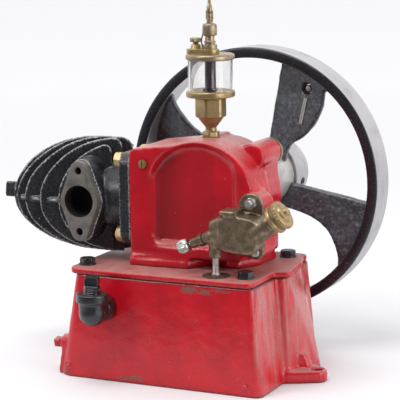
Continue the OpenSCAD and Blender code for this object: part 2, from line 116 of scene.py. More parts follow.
class EngineColours(bpy.types.PropertyGroup):
    """Colours of the engine's paints and metals."""

    enamel: colour("Enamel", "Red enamel where it is thick", "#BC0F20")
    enamel_deep: colour("Deep enamel", "Red enamel where it is thin or shaded", "#A80A1B")
    # The dust tone also paints top light on upward faces and sheen on the tank's right end.
    dust: colour("Dust", "Dust and dried oil on upward faces", "#AD8F87")
    primer: colour("Bare patches", "Old primer and iron under chipped enamel", "#6B4D46")
    black_paint: colour("Black paint", "Black paint of the cylinder", "#25262C")
    # This pale also paints the fins' edge highlights, as well as their real wear.
    black_edge_wear_and_light: colour("Worn edge", "Iron at the worn edges of the black paint", "#B9B7B8")
    bare_iron: colour("Bare iron", "Unpainted machined iron", "#7A756F")
    machined: colour("Machined rim", "Turned iron of the rim and pulley", "#B7B5B8")
    brass: colour("Brass", "Aged yellow brass", "#AD9468")
    brass_dark: colour("Brass tarnish", "Brown tarnish in the hollows of the brass", "#6B563C")
    bronze: colour("Bronze", "Cast bronze of the mixer", "#95836D")
    bronze_dark: colour("Bronze tarnish", "Dark tarnish on the mixer", "#4C3C2F")
    steel: colour("Steel", "Plain steel of the screws and rod", "#A8A6A2")
    nickel: colour("Nickel", "Tarnished plating of the needle knob", "#D6D8D0")


# --- Meshes ------------------------------------------------------------------------------


def relax(values, edges, passes, share=0.6):
    """Moves each value towards the mean of its neighbours, passes times."""
    count = len(values)
    first, second = edges.T
    neighbours = np.bincount(first, minlength=count) + np.bincount(second, minlength=count)
    for _ in range(passes):
        mean = np.empty_like(values)
        for k in range(values.shape[1]):
            mean[:, k] = np.bincount(first, values[second, k], count) + np.bincount(
                second, values[first, k], count
            )
        mean /= np.maximum(neighbours, 1)[:, None]
        values = values + share * (mean - values)
    return values


def read_points(mesh):
    """A mesh's points and edges as arrays."""
    points = np.empty(len(mesh.vertices) * 3)
    mesh.vertices.foreach_get("co", points)
    edges = np.empty(len(mesh.edges) * 2, np.int64)
    mesh.edges.foreach_get("vertices", edges)
    return points.reshape(-1, 3), edges.reshape(-1, 2)


def read_normals(mesh):
    """A mesh's point normals as an array."""
    normals = np.empty(len(mesh.vertices) * 3)
    mesh.vertices.foreach_get("normal", normals)
    return normals.reshape(-1, 3)


def paint_mask(mesh, name, values):
    """Stores one number a point, for a material to read."""
    mask = mesh.attributes.get(name) or mesh.attributes.new(name, "FLOAT", "POINT")
    mask.data.foreach_set("value", np.asarray(values, np.float32))


def add_object(name, mesh):
    """Links a new object with this mesh to the scene."""
    obj = bpy.data.objects.new(name, mesh)
    bpy.context.scene.collection.objects.link(obj)
    return obj


def solids_mesh(nodes, grow=0.0):
    """The solids of some nodes in one bmesh, each point moved out by grow mm."""
    bm = bmesh.new()
    for node in nodes:
        bm.from_mesh(frame["nodes"][node].data)
    bmesh.ops.remove_doubles(bm, verts=bm.verts, dist=1e-6)
    bmesh.ops.recalc_face_normals(bm, faces=bm.faces)
    bm.normal_update()
    for vert in bm.verts:
        vert.co += vert.normal * grow * MM
    return bm


def cast_piece(name, nodes, cell, passes, waviness, soft_zone=None, soft_passes=0):
    """One smooth casting: the union of some solids, corners worn round, surface uneven.

    soft_zone takes the points and gives a weight for each, 1 where corners are rounder.
    It stores the mask "edge": above 0 on outer corners and below 0 in hollows.
    """
    # The solids grow a little first, because rounding the corners shrinks them.
    bm = solids_mesh(nodes, grow=0.25)
    mesh = bpy.data.meshes.new(name)
    bm.to_mesh(mesh)
    bm.free()
    obj = add_object(name, mesh)
    union = obj.modifiers.new("union", "REMESH")
    union.mode = "VOXEL"
    union.voxel_size = cell * MM
    depsgraph = bpy.context.evaluated_depsgraph_get()
    casting = bpy.data.meshes.new_from_object(obj.evaluated_get(depsgraph))
    obj.modifiers.clear()
    obj.data = casting
    casting.name = name
    points, edges = read_points(casting)
    points = relax(points, edges, passes)
    if soft_zone:
        weight = soft_zone(points)[:, None]
        points = points + weight * (relax(points, edges, soft_passes) - points)
    casting.vertices.foreach_set("co", points.ravel())
    casting.update()
    normals = read_normals(casting)
    # Swells about 18 mm across, with shallower ones about 6 mm across on them.
    swell = np.array([
        noise.noise(Vector(p) * 55) + 0.6 * noise.noise(Vector(p) * 170) for p in points
    ])
    bend = ((points - relax(points, edges, 1, 1.0)) * normals).sum(1) / (cell * MM) ** 2 * MM
    paint_mask(casting, "edge", relax(bend[:, None], edges, 2)[:, 0])
    points = points + normals * (swell * waviness * MM * 0.5)[:, None]
    casting.vertices.foreach_set("co", points.ravel())
    casting.shade_smooth()
    casting.update()
    return obj


def thin_out(obj, most):
    """Collapses faces until the piece has at most this many triangles."""
    triangles = sum(len(face.vertices) - 2 for face in obj.data.polygons)
    if triangles > most:
        fewer = obj.modifiers.new("fewer", "DECIMATE")
        fewer.ratio = most / triangles
        depsgraph = bpy.context.evaluated_depsgraph_get()
        mesh = bpy.data.meshes.new_from_object(obj.evaluated_get(depsgraph))
        obj.modifiers.clear()
        obj.data = mesh
        mesh.shade_smooth()


def eased_piece(name, nodes, width, segments=2):
    """Machined solids with their sharp corners eased by width mm."""
    bm = solids_mesh(nodes)
    bmesh.ops.dissolve_limit(
        bm, angle_limit=math.radians(2), verts=bm.verts, edges=bm.edges
    )
    sharp = [
        edge for edge in bm.edges
        if len(edge.link_faces) == 2 and edge.calc_face_angle(0) > math.radians(35)
    ]
    bmesh.ops.bevel(
        bm, geom=sharp, offset=width * MM, segments=segments, affect="EDGES",
        clamp_overlap=True, profile=0.6,
    )
    mesh = bpy.data.meshes.new(name)
    bm.to_mesh(mesh)
    bm.free()
    mesh.shade_smooth()
    mesh.set_sharp_from_angle(angle=math.radians(40))
    return add_object(name, mesh)


def eased(rows, cut=0.5):
    """Rounds each corner of a turned profile by about cut mm."""
    out = [rows[0]]
    for before, here, after in zip(rows, rows[1:], rows[2:]):
        if len(here) > 2:
            out.append(here)
            continue
        p, a, b = (Vector(row[:2]) for row in (here, before, after))
        if (a - p).length < 1e-4 or (b - p).length < 1e-4:
            out.append(here)
            continue
        start = p + (a - p).normalized() * min(cut, (a - p).length / 2.2)
        end = p + (b - p).normalized() * min(cut, (b - p).length / 2.2)
        out += [tuple(start), tuple((start + 2 * p + end) / 4), tuple(end)]
    return out + [rows[-1]]


def flats(sides, limit):
    """The shape of a turned row with flats, whose corners stop limit mm from the axis."""
    return {"sides": sides, "limit": limit}


def knurl(ridges, depth):
    """The shape of a turned row with straight knurling, depth mm deep."""
    return {"ridges": ridges, "depth": depth}


def screw_rows(radius, low, high, pitch, depth):
    """Rows of a screw thread between two heights, all in mm."""
    steps = max(2, round((high - low) / pitch * 4))
    return [
        (radius, low + (high - low) * i / steps, {"pitch": pitch, "depth": depth})
        for i in range(steps + 1)
    ]


def row_radius(row, turn):
    """Radius of a profile row at a share of a full turn."""
    shape = row[2] if len(row) > 2 else {}
    radius = row[0]
    if "sides" in shape:
        flat = 1 / shape["sides"]
        off = ((turn + flat / 2) % flat - flat / 2) * 2 * math.pi
        radius = min(radius / math.cos(off), shape["limit"])
    if "ridges" in shape:
        radius -= shape["depth"] * abs(2 * ((turn * shape["ridges"]) % 1) - 1)
    if "pitch" in shape:
        radius -= shape["depth"] * abs(2 * ((turn + row[1] / shape["pitch"]) % 1) - 1)
    return radius


def turned_piece(name, rows, foot, direction, spin=0.0, closed=False, crisp=32, steps=None):
    """A part turned about direction from the point foot, with rows of (radius, height, shape).

    Rows with a shape have flats, knurled ridges or a thread. A closed profile is a ring.
    Edges that turn by more than crisp degrees stay sharp.
    """
    steps = steps or bpy.context.scene.engine_sizes.turned_steps
    place = Matrix.Translation(foot) @ direction.to_track_quat("Z", "Y").to_matrix().to_4x4()
    place = place @ Matrix.Rotation(math.radians(spin), 4, "Z")
    bm = bmesh.new()
    rings = []
    for row in rows:
        if row[0] <= 0:
            rings.append([bm.verts.new(place @ Vector((0, 0, row[1] * MM)))])
            continue
        ring = []
        for i in range(steps):
            angle = 2 * math.pi * i / steps
            radius = row_radius(row, i / steps) * MM
            ring.append(bm.verts.new(place @ Vector(
                (radius * math.cos(angle), radius * math.sin(angle), row[1] * MM)
            )))
        rings.append(ring)
    pairs = list(zip(rings, rings[1:]))
    if closed:
        pairs.append((rings[-1], rings[0]))
    for lower, upper in pairs:
        for i in range(steps):
            j = (i + 1) % steps
            if len(lower) == 1 and len(upper) == 1:
                continue
            if len(lower) == 1:
                bm.faces.new((lower[0], upper[j], upper[i]))
            elif len(upper) == 1:
                bm.faces.new((lower[i], lower[j], upper[0]))
            else:
                bm.faces.new((lower[i], lower[j], upper[j], upper[i]))
    if not closed:
        for ring, flip in ((rings[0], True), (rings[-1], False)):
            if len(ring) > 1:
                bm.faces.new(reversed(ring) if flip else ring)
    bmesh.ops.recalc_face_normals(bm, faces=bm.faces)
    mesh = bpy.data.meshes.new(name)
    bm.to_mesh(mesh)
    bm.free()
    mesh.shade_smooth()
    mesh.set_sharp_from_angle(angle=math.radians(crisp))
    return add_object(name, mesh)


def wire_piece(name, points, thickness):
    """A round wire through some points, in metres, as a mesh."""
    curve = bpy.data.curves.new(name, "CURVE")
    curve.dimensions = "3D"
    curve.bevel_depth = thickness * MM / 2
    curve.bevel_resolution = 4
    curve.use_fill_caps = True
    spline = curve.splines.new("POLY")
    spline.points.add(len(points) - 1)
    for point, place in zip(spline.points, points):
        point.co = (*place, 1)
    temporary = add_object(name + "_path", curve)
    depsgraph = bpy.context.evaluated_depsgraph_get()
    mesh = bpy.data.meshes.new_from_object(temporary.evaluated_get(depsgraph))
    bpy.data.objects.remove(temporary)
    mesh.name = name
    mesh.shade_smooth()
    return add_object(name, mesh)


def middle(node):
    """The centre of a node's box."""
    low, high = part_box(node)
    return (low + high) / 2


def corners(low, high, inset):
    """The four corners of a flat box, each moved in by inset mm."""
    return [
        (across, along)
        for across in (low[0] + inset * MM, high[0] - inset * MM)
        for along in (low[1] + inset * MM, high[1] - inset * MM)
    ]


def dress(obj, body, slot, look, *replaced):
    """Gives a piece its finish and its body, and hides the solids that it stands for. Its slot is
    not used.
    """
    obj.data.materials.clear()
    obj.data.materials.append(finishes()[look])
    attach(obj, body)
    if replaced:
        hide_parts(*replaced)
    return obj


# --- Materials ---------------------------------------------------------------------------

MIX, LOW, HIGH = 0, 6, 7  # sockets of a colour Mix node: factor, A and B
FEATURE = 1000  # a noise scale of FEATURE / n gives features about n mm across


def add_node(tree, kind, settings=None, links=None):
    """Adds a shader node with its settings, its inputs' values and the links into it."""
    node = tree.nodes.new("ShaderNode" + kind)
    for key, value in (settings or {}).items():
        if isinstance(key, int) or key in node.inputs:
            node.inputs[key].default_value = value
        else:
            setattr(node, key, value)
    for key, source in (links or {}).items():
        tree.links.new(source, node.inputs[key])
    return node


def new_material(name):
    """An empty material, its tree, its shader and the object's own coordinates."""
    material = bpy.data.materials.new(name)
    material.use_nodes = True
    tree = material.node_tree
    tree.nodes.clear()
    shader = add_node(tree, "BsdfPrincipled")
    add_node(tree, "OutputMaterial", links={"Surface": shader.outputs[0]})
    where = add_node(tree, "TexCoord").outputs["Object"]
    return material, tree, shader, where


def blend_colours(tree, share, low, high):
    """Colour that turns from low to high with share; each is a colour or an output."""
    settings, links = {"data_type": "RGBA"}, {MIX: share}
    for key, value in ((LOW, low), (HIGH, high)):
        if isinstance(value, bpy.types.NodeSocket):
            links[key] = value
        else:
            settings[key] = (*value[:3], 1)
    return add_node(tree, "Mix", settings, links).outputs[2]


def cast_paint(
    name, thick, thin, bare, dust, patch, grain, rough, wear_and_edge_light_from, dust_and_light_share, grain_depth,
    ior, sheen_speckle,
):
    """Paint brushed over a rough sand casting. It pools smooth over the grain, thins to
    deep colour in patches, wears through at the corners, and holds dust on top. Its
    hollows are painted darker as shade, its upward faces take painted top light with the
    dust, and its pale specks are partly a painted sheen.

    patch and grain are the sizes in mm of the patches and of the casting's grain. The masks
    edge, chip, grime and bloom mark wear with painted edge highlight,
    chips, dirt with painted shade, and pale streaks with painted sheen.
    """
    material, tree, shader, where = new_material(name)
    broad = add_node(
        tree, "TexNoise", {"Scale": FEATURE / patch, "Detail": 3, "Roughness": 0.6},
        {"Vector": where},
    ).outputs["Fac"]
    fine = add_node(
        tree, "TexNoise", {"Scale": FEATURE / grain, "Detail": 4, "Roughness": 0.65},
        {"Vector": where},
    ).outputs["Fac"]
    edge = add_node(tree, "Attribute", {"attribute_name": "edge"}).outputs["Fac"]
    chip = add_node(tree, "Attribute", {"attribute_name": "chip"}).outputs["Fac"]
    grime = add_node(tree, "Attribute", {"attribute_name": "grime"}).outputs["Fac"]
    pool = add_node(
        tree, "MapRange", {"From Min": 0.34, "From Max": 0.6}, {"Value": broad}
    ).outputs[0]
    base = blend_colours(tree, pool, thin, thick)
    # The casting's high grains are painted paler than the hollows between them: partly real wear,
    # partly painted sheen.
    paled_share = add_node(
        tree, "MapRange", {"From Min": 0.52, "From Max": 0.72, "To Max": sheen_speckle}, {"Value": fine}
    ).outputs[0]
    base = blend_colours(tree, paled_share, base, bare)
    # Painted shade: hollows and inside corners are darkened, up to about half way, towards a dark
    # copy of the thin colour.
    hollow = add_node(
        tree, "MapRange", {"From Min": -0.03, "From Max": -0.22, "To Max": 0.55}, {"Value": edge}
    ).outputs[0]
    base = blend_colours(tree, hollow, base, [c * 0.45 for c in thin])
    # Dust settles on faces that look up, in patches; these faces are also painted paler as painted
    # top light.
    facing = add_node(
        tree, "SeparateXYZ", links={0: add_node(tree, "NewGeometry").outputs["Normal"]}
    ).outputs["Z"]
    level = add_node(
        tree, "MapRange", {"From Min": 0.55, "From Max": 0.97, "To Max": dust_and_light_share},
        {"Value": facing},
    ).outputs[0]
    settled = add_node(
        tree, "MapRange", {"From Min": 0.25, "From Max": 0.6, "To Min": 0.45}, {"Value": broad}
    ).outputs[0]
    dust_and_painted_light = add_node(
        tree, "Math", {"operation": "MULTIPLY", "use_clamp": True}, {0: level, 1: settled}
    ).outputs[0]
    # Pale streaks run down the end of the casting, about 9 mm wide: partly dried polish, partly
    # painted reflection.
    run = add_node(
        tree, "VectorMath", {"operation": "MULTIPLY", 1: (1, 1, 0.12)}, {0: where}
    ).outputs[0]
    run = add_node(
        tree, "TexNoise", {"Scale": FEATURE / 9, "Detail": 4, "Roughness": 0.7}, {"Vector": run}
    ).outputs["Fac"]
    run = add_node(
        tree, "MapRange", {"From Min": 0.38, "From Max": 0.68, "To Max": 0.75}, {"Value": run}
    ).outputs[0]
    bloom = add_node(tree, "Attribute", {"attribute_name": "bloom"}).outputs["Fac"]
    bloom = add_node(tree, "Math", {"operation": "MULTIPLY"}, {0: run, 1: bloom}).outputs[0]
    dust_and_painted_light = add_node(tree, "Math", {"operation": "MAXIMUM"}, {0: dust_and_painted_light, 1: bloom}).outputs[0]
    base = blend_colours(tree, dust_and_painted_light, base, dust)
    # Corners and chips show the bare metal with a ragged edge. Where the edge threshold is low,
    # nearly every outer edge turns pale: partly real wear, partly painted edge highlight.
    tooth = add_node(
        tree, "TexNoise", {"Scale": FEATURE / 1.6, "Detail": 5, "Roughness": 0.7},
        {"Vector": where},
    ).outputs["Fac"]
    ragged = add_node(
        tree, "MapRange", {"From Min": 0.3, "From Max": 0.7, "To Min": -0.08, "To Max": 0.08},
        {"Value": tooth},
    ).outputs[0]
    worn_and_edge_light = add_node(tree, "Math", {"operation": "ADD"}, {0: edge, 1: ragged}).outputs[0]
    worn_and_edge_light = add_node(
        tree, "MapRange", {"From Min": wear_and_edge_light_from, "From Max": wear_and_edge_light_from + 0.08, "To Max": 0.85},
        {"Value": worn_and_edge_light},
    ).outputs[0]
    torn = add_node(
        tree, "MapRange", {"From Min": 0.3, "From Max": 0.7, "To Min": -0.45, "To Max": 0.45},
        {"Value": tooth},
    ).outputs[0]
    chipped = add_node(tree, "Math", {"operation": "ADD"}, {0: chip, 1: torn}).outputs[0]
    chipped = add_node(
        tree, "MapRange", {"From Min": 0.62, "From Max": 0.72, "To Max": 0.9}, {"Value": chipped}
    ).outputs[0]
    # A few small pits where the paint has fallen out.
    pit = add_node(
        tree, "TexNoise", {"Scale": FEATURE / 4.5, "Detail": 1}, {"Vector": where}
    ).outputs["Fac"]
    pit = add_node(
        tree, "MapRange", {"From Min": 0.76, "From Max": 0.79, "To Max": 0.8}, {"Value": pit}
    ).outputs[0]
    chipped = add_node(tree, "Math", {"operation": "MAXIMUM"}, {0: chipped, 1: pit}).outputs[0]
    bared_and_edge_light = add_node(
        tree, "Math", {"operation": "MAXIMUM", "use_clamp": True}, {0: worn_and_edge_light, 1: chipped}
    ).outputs[0]
    base = blend_colours(tree, bared_and_edge_light, base, bare)
    dirt_and_shade = add_node(
        tree, "Math", {"operation": "MULTIPLY", "use_clamp": True}, {0: grime, 1: broad}
    ).outputs[0]
    base = blend_colours(tree, dirt_and_shade, base, linear("#2A1613"))
    tree.links.new(base, shader.inputs["Base Color"])
    # Duller on the grain, under the dust and painted light, on chips, and on the pale edges.
    dull = add_node(
        tree, "MapRange",
        {"From Min": 0.3, "From Max": 0.7, "To Min": rough, "To Max": rough + 0.14},
        {"Value": fine},
    ).outputs[0]
    duller = add_node(
        tree, "Math", {"operation": "MULTIPLY_ADD", 1: 0.4}, {0: dust_and_painted_light, 2: dull}
    ).outputs[0]
    duller = add_node(
        tree, "Math", {"operation": "MULTIPLY_ADD", 1: 0.35, "use_clamp": True},
        {0: bared_and_edge_light, 2: duller},
    ).outputs[0]
    tree.links.new(duller, shader.inputs["Roughness"])
    shader.inputs["IOR"].default_value = ior
    bump = add_node(
        tree, "Bump", {"Strength": 0.6, "Distance": grain_depth * MM}, {"Height": fine}
    )
    brushed = add_node(
        tree, "Bump", {"Strength": 0.6, "Distance": 0.9 * MM},
        {"Height": broad, "Normal": bump.outputs[0]},
    )
    tree.links.new(brushed.outputs[0], shader.inputs["Normal"])
    return material


def aged_metal(name, clean, dark, patch, grain, rough, metallic, tarnish, depth=0.08):
    """Bare metal that has aged: clean on its worn parts, darker and duller in patches."""
    material, tree, shader, where = new_material(name)
    broad = add_node(
        tree, "TexNoise", {"Scale": FEATURE / patch, "Detail": 4, "Roughness": 0.65},
        {"Vector": where},
    ).outputs["Fac"]
    fine = add_node(
        tree, "TexNoise", {"Scale": FEATURE / grain, "Detail": 3}, {"Vector": where}
    ).outputs["Fac"]
    stain = add_node(
        tree, "MapRange",
        {"From Min": 0.62 - 0.35 * tarnish, "From Max": 0.8 - 0.3 * tarnish, "To Max": tarnish},
        {"Value": broad},
    ).outputs[0]
    edge = add_node(tree, "Attribute", {"attribute_name": "edge"}).outputs["Fac"]
    hollow = add_node(
        tree, "MapRange", {"From Min": 0.02, "From Max": -0.2, "To Max": 0.7}, {"Value": edge}
    ).outputs[0]
    stain = add_node(tree, "Math", {"operation": "MAXIMUM"}, {0: stain, 1: hollow}).outputs[0]
    base = blend_colours(tree, stain, clean, dark)
    speck = add_node(
        tree, "MapRange", {"From Min": 0.35, "From Max": 0.65, "To Max": 0.25}, {"Value": fine}
    ).outputs[0]
    base = blend_colours(tree, speck, base, [c * 0.6 for c in dark[:3]])
    # Handling keeps the raised edges pale.
    paled_share = add_node(
        tree, "MapRange", {"From Min": 0.12, "From Max": 0.4, "To Max": 0.6}, {"Value": edge}
    ).outputs[0]
    base = blend_colours(tree, paled_share, base, [min(c * 1.6, 0.8) for c in clean[:3]])
    tree.links.new(base, shader.inputs["Base Color"])
    shader.inputs["Metallic"].default_value = metallic
    dull = add_node(
        tree, "Math", {"operation": "MULTIPLY_ADD", 1: 0.28, 2: rough, "use_clamp": True},
        {0: stain},
    ).outputs[0]
    tree.links.new(dull, shader.inputs["Roughness"])
    bump = add_node(
        tree, "Bump", {"Strength": 0.35, "Distance": depth * MM}, {"Height": fine}
    )
    tree.links.new(bump.outputs[0], shader.inputs["Normal"])
    return material


def turned_iron(name, clean, dark):
    """Iron left by the lathe: pale and satin, with fine rings round the crank axis."""
    material, tree, shader, where = new_material(name)
    centred = add_node(
        tree, "Mapping", {"Location": tuple(-c for c in CRANK)}, {"Vector": where}
    ).outputs[0]
    across = add_node(
        tree, "VectorMath", {"operation": "MULTIPLY", 1: (1, 0, 1)}, {0: centred}
    ).outputs[0]
    radius = add_node(tree, "VectorMath", {"operation": "LENGTH"}, {0: across}).outputs["Value"]
    along = add_node(tree, "SeparateXYZ", links={0: centred}).outputs["Y"]
    rings = add_node(tree, "CombineXYZ", links={0: radius, 1: along}).outputs[0]
    # Tool marks 0.4 mm apart would vanish, so they are drawn about 1 mm apart.
    marks = add_node(
        tree, "TexNoise", {"Scale": FEATURE / 1.0, "Detail": 2}, {"Vector": rings}
    ).outputs["Fac"]
    broad = add_node(
        tree, "TexNoise", {"Scale": FEATURE / 22, "Detail": 5, "Roughness": 0.7},
        {"Vector": where},
    ).outputs["Fac"]
    stain = add_node(
        tree, "MapRange", {"From Min": 0.5, "From Max": 0.78, "To Max": 0.7}, {"Value": broad}
    ).outputs[0]
    base = blend_colours(tree, stain, clean, dark)
    line = add_node(
        tree, "MapRange", {"From Min": 0.3, "From Max": 0.7, "To Max": 0.18}, {"Value": marks}
    ).outputs[0]
    base = blend_colours(tree, line, base, dark)
    tree.links.new(base, shader.inputs["Base Color"])
    shader.inputs["Metallic"].default_value = 0.85
    dull = add_node(
        tree, "MapRange", {"From Min": 0.3, "From Max": 0.7, "To Min": 0.3, "To Max": 0.46},
        {"Value": broad},
    ).outputs[0]
    tree.links.new(dull, shader.inputs["Roughness"])
    bump = add_node(tree, "Bump", {"Strength": 0.3, "Distance": 0.05 * MM}, {"Height": marks})
    tree.links.new(bump.outputs[0], shader.inputs["Normal"])
    return material


def sight_glass(name):
    """Clear glass, slightly filmed with oil, so it gleams and dims what is behind it."""
    material, tree, shader, where = new_material(name)
    film = add_node(
        tree, "TexNoise", {"Scale": FEATURE / 9, "Detail": 3}, {"Vector": where}
    ).outputs["Fac"]
    dull = add_node(
        tree, "MapRange", {"From Min": 0.45, "From Max": 0.75, "To Min": 0.01, "To Max": 0.08},
        {"Value": film},
    ).outputs[0]
    tree.links.new(dull, shader.inputs["Roughness"])
    shader.inputs["Base Color"].default_value = linear("#F7F6F5")
    shader.inputs["Transmission Weight"].default_value = 1.0
    # A thin tube hardly bends what is behind it, so the IOR is low and a coat gleams.
    shader.inputs["IOR"].default_value = 1.12
    shader.inputs["Coat Weight"].default_value = 0.7
    shader.inputs["Coat Roughness"].default_value = 0.04
    return material


def soot_and_shade(name):
    """Dull black inside the exhaust port, partly real carbon and partly painted shade, which gives
    the eye nothing to catch.
    """
    material, tree, shader, where = new_material(name)
    flake = add_node(
        tree, "TexNoise", {"Scale": FEATURE / 3, "Detail": 4}, {"Vector": where}
    ).outputs["Fac"]
    base = blend_colours(tree, flake, linear("#1B1A1C"), linear("#2C2826"))
    tree.links.new(base, shader.inputs["Base Color"])
    shader.inputs["Roughness"].default_value = 0.95
    shader.inputs["IOR"].default_value = 1.2
    return material


def finishes():
    """The engine's materials, made once."""

    def tone(name):
        """A colour as the user has set it."""
        return list(getattr(bpy.context.scene.engine_colours, name)) + [1.0]

    recipes = {
        "red_enamel": lambda name: cast_paint(
            name, tone("enamel"), tone("enamel_deep"), tone("primer"), tone("dust"),
            patch=26, grain=1.8, rough=0.07, wear_and_edge_light_from=0.5, dust_and_light_share=0.65, grain_depth=0.3,
            ior=1.5, sheen_speckle=0.02),
        "dusty_red_enamel": lambda name: cast_paint(
            name, tone("enamel"), tone("enamel_deep"), tone("primer"), linear("#A38C84"),
            patch=17, grain=1.6, rough=0.22, wear_and_edge_light_from=0.6, dust_and_light_share=0.7, grain_depth=0.12,
            ior=1.52, sheen_speckle=0.05),
        # Painted sheen: the blades' black is set pale and bluish, with many pale specks and pale
        # tops, for the grey sheen on them; partly it is the paint's own dull grey.
        "black_wheel_paint": lambda name: cast_paint(
            name, linear("#3A3E49"), linear("#22242C"), linear("#A4A7AE"), linear("#77767A"),
            patch=30, grain=3.2, rough=0.2, wear_and_edge_light_from=0.3, dust_and_light_share=0.35, grain_depth=0.7,
            ior=1.65, sheen_speckle=0.3),
        "black_rim_paint": lambda name: cast_paint(
            name, linear("#1C1C22"), linear("#141418"), linear("#77777C"), linear("#55535A"),
            patch=25, grain=2.0, rough=0.22, wear_and_edge_light_from=0.3, dust_and_light_share=0.3, grain_depth=0.3,
            ior=1.5, sheen_speckle=0.08),
        # Painted highlight: its edge threshold is so low that nearly every fin edge turns pale,
        # partly real wear and partly painted edge highlight.
        "black_cylinder_paint": lambda name: cast_paint(
            name, tone("black_paint"), linear("#17171B"), tone("black_edge_wear_and_light"), linear("#6A6664"),
            patch=18, grain=2.2, rough=0.22, wear_and_edge_light_from=0.05, dust_and_light_share=0.2, grain_depth=0.2,
            ior=1.5, sheen_speckle=0.04),
        "worn_black_fittings": lambda name: cast_paint(
            name, linear("#191B21"), linear("#0F1014"), linear("#8A8784"), linear("#4C4845"),
            patch=9, grain=1.4, rough=0.14, wear_and_edge_light_from=0.26, dust_and_light_share=0.3, grain_depth=0.25,
            ior=1.6, sheen_speckle=0.06),
        "hub_iron": lambda name: aged_metal(
            name, linear("#D2CFCC"), linear("#96928E"),
            patch=14, grain=1.2, rough=0.4, metallic=0.35, tarnish=0.5),
        "bare_flange_iron": lambda name: aged_metal(
            name, tone("bare_iron"), linear("#4A423B"),
            patch=9, grain=1.2, rough=0.5, metallic=0.35, tarnish=0.6),
        "aged_brass": lambda name: aged_metal(
            name, tone("brass"), tone("brass_dark"),
            patch=7, grain=0.8, rough=0.3, metallic=0.72, tarnish=0.5),
        "browned_brass": lambda name: aged_metal(
            name, linear("#A8967B"), linear("#645443"),
            patch=6, grain=0.8, rough=0.36, metallic=0.85, tarnish=0.5),
        "pale_nut_brass": lambda name: aged_metal(
            name, linear("#E0C893"), linear("#A67F4C"),
            patch=6, grain=0.8, rough=0.35, metallic=0.7, tarnish=0.4),
        "browned_bronze": lambda name: aged_metal(
            name, tone("bronze"), tone("bronze_dark"),
            patch=7, grain=1.6, rough=0.28, metallic=0.75, tarnish=0.7, depth=0.4),
        "rusty_washer": lambda name: aged_metal(
            name, linear("#5E4837"), linear("#3A2B22"),
            patch=5, grain=0.8, rough=0.5, metallic=0.4, tarnish=0.6),
        "plain_steel": lambda name: aged_metal(
            name, tone("steel"), linear("#5E5B57"),
            patch=6, grain=0.7, rough=0.3, metallic=1.0, tarnish=0.5),
        "tarnished_nickel": lambda name: aged_metal(
            name, tone("nickel"), linear("#7B7A6E"),
            patch=4, grain=0.8, rough=0.22, metallic=1.0, tarnish=0.5),
        "dark_tube_steel": lambda name: aged_metal(
            name, linear("#6A6268"), linear("#3A3439"),
            patch=5, grain=1.0, rough=0.16, metallic=0.9, tarnish=0.4),
        "machined_iron": lambda name: turned_iron(
            name, tone("machined"), linear("#8B8884")),
        "oiler_sight_glass": sight_glass,
        "port_soot": soot_and_shade,
    }
    return {name: bpy.data.materials.get(name) or make(name) for name, make in recipes.items()}


# --- Pieces ------------------------------------------------------------------------------


class MakeTank(bpy.types.Operator):
    """Casts the tank with its foot, filled holes, chips, dark lines at its top seam and its foot,
    and an end streaked pale with painted sheen
    """

    bl_idname = "engine.make_tank"
    bl_label = "Tank"

    def execute(self, context):
        sizes = context.scene.engine_sizes
        low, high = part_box("tank_base")
        tank = cast_piece(
            "tank", ["tank_base"], cell=sizes.cast_cell, passes=5, waviness=sizes.cast_waviness
        )
        points, _ = read_points(tank.data)
        normals = read_normals(tank.data)
        # Two filled holes near the bottom corners: a low dome, smoothed by wear, on a wide collar.
        rows = [
            (0, 2.0), (1.4, 1.85), (2.3, 1.4), (2.8, 0.7), (3.2, 0.5), (3.9, 0.5), (4.4, 0.2),
            (4.7, -0.4), (4.8, -1.5), (0, -1.5),
        ]
        left, right = (-115 * MM, 9.5 * MM), (62 * MM, 8.5 * MM)
        for i, (x, z) in enumerate((left, right)):
            filled = turned_piece(
                "filled_hole_%d" % i, rows, Vector((x, low.y + 0.4 * MM, z)), FRONT
            )
            ring = [math.hypot(v.co.x - x, v.co.z - z) / MM for v in filled.data.vertices]
            paint_mask(filled.data, "chip", [0.62 if 0.8 < r < 2.8 else 0.0 for r in ring])
            dress(filled, "engine", "red_casting", "red_enamel")
        # Chips under the cover's lip and at the bottom edge, each by its middle, its half
        # width and its half height, in mm.
        x, _, z = points.T
        on_front = normals[:, 1] < -0.7
        top, bottom = high.z / MM, low.z / MM
        chip = np.zeros(len(points))
        for across, up, wide, deep in (
            (8, top - 5.3, 10, 4.2), (22, top - 6, 8, 3.2), (38, top - 4, 10, 1.6),
            (-46, bottom + 5.5, 12, 2.6), (-60, bottom + 3.5, 8, 1.4),
        ):
            away = np.hypot((x / MM - across) / wide, (z / MM - up) / deep)
            chip = np.maximum(chip, np.clip(1.1 - 0.6 * away, 0, 1) * on_front)
        paint_mask(tank.data, "chip", chip)
        seam = np.exp(-(((z - high.z) / (1.6 * MM)) ** 2)) * 1.6
        skirt = np.exp(-(((z - low.z) / (1.8 * MM)) ** 2)) * 1.2
        paint_mask(tank.data, "grime", np.maximum(seam, skirt))
        # Faces that look to the right are painted pale in streaks, most of all near the top:
        # partly real pale streaks, partly painted reflection of the light from the right.
        ended = np.clip((normals[:, 0] - 0.25) / 0.6, 0, 1)
        height = np.clip((z - low.z) / (high.z - low.z), 0, 1)
        paint_mask(tank.data, "bloom", ended * (0.25 + 0.75 * height))
        dress(tank, "engine", "red_casting", "red_enamel", "tank_base")
        return {"FINISHED"}


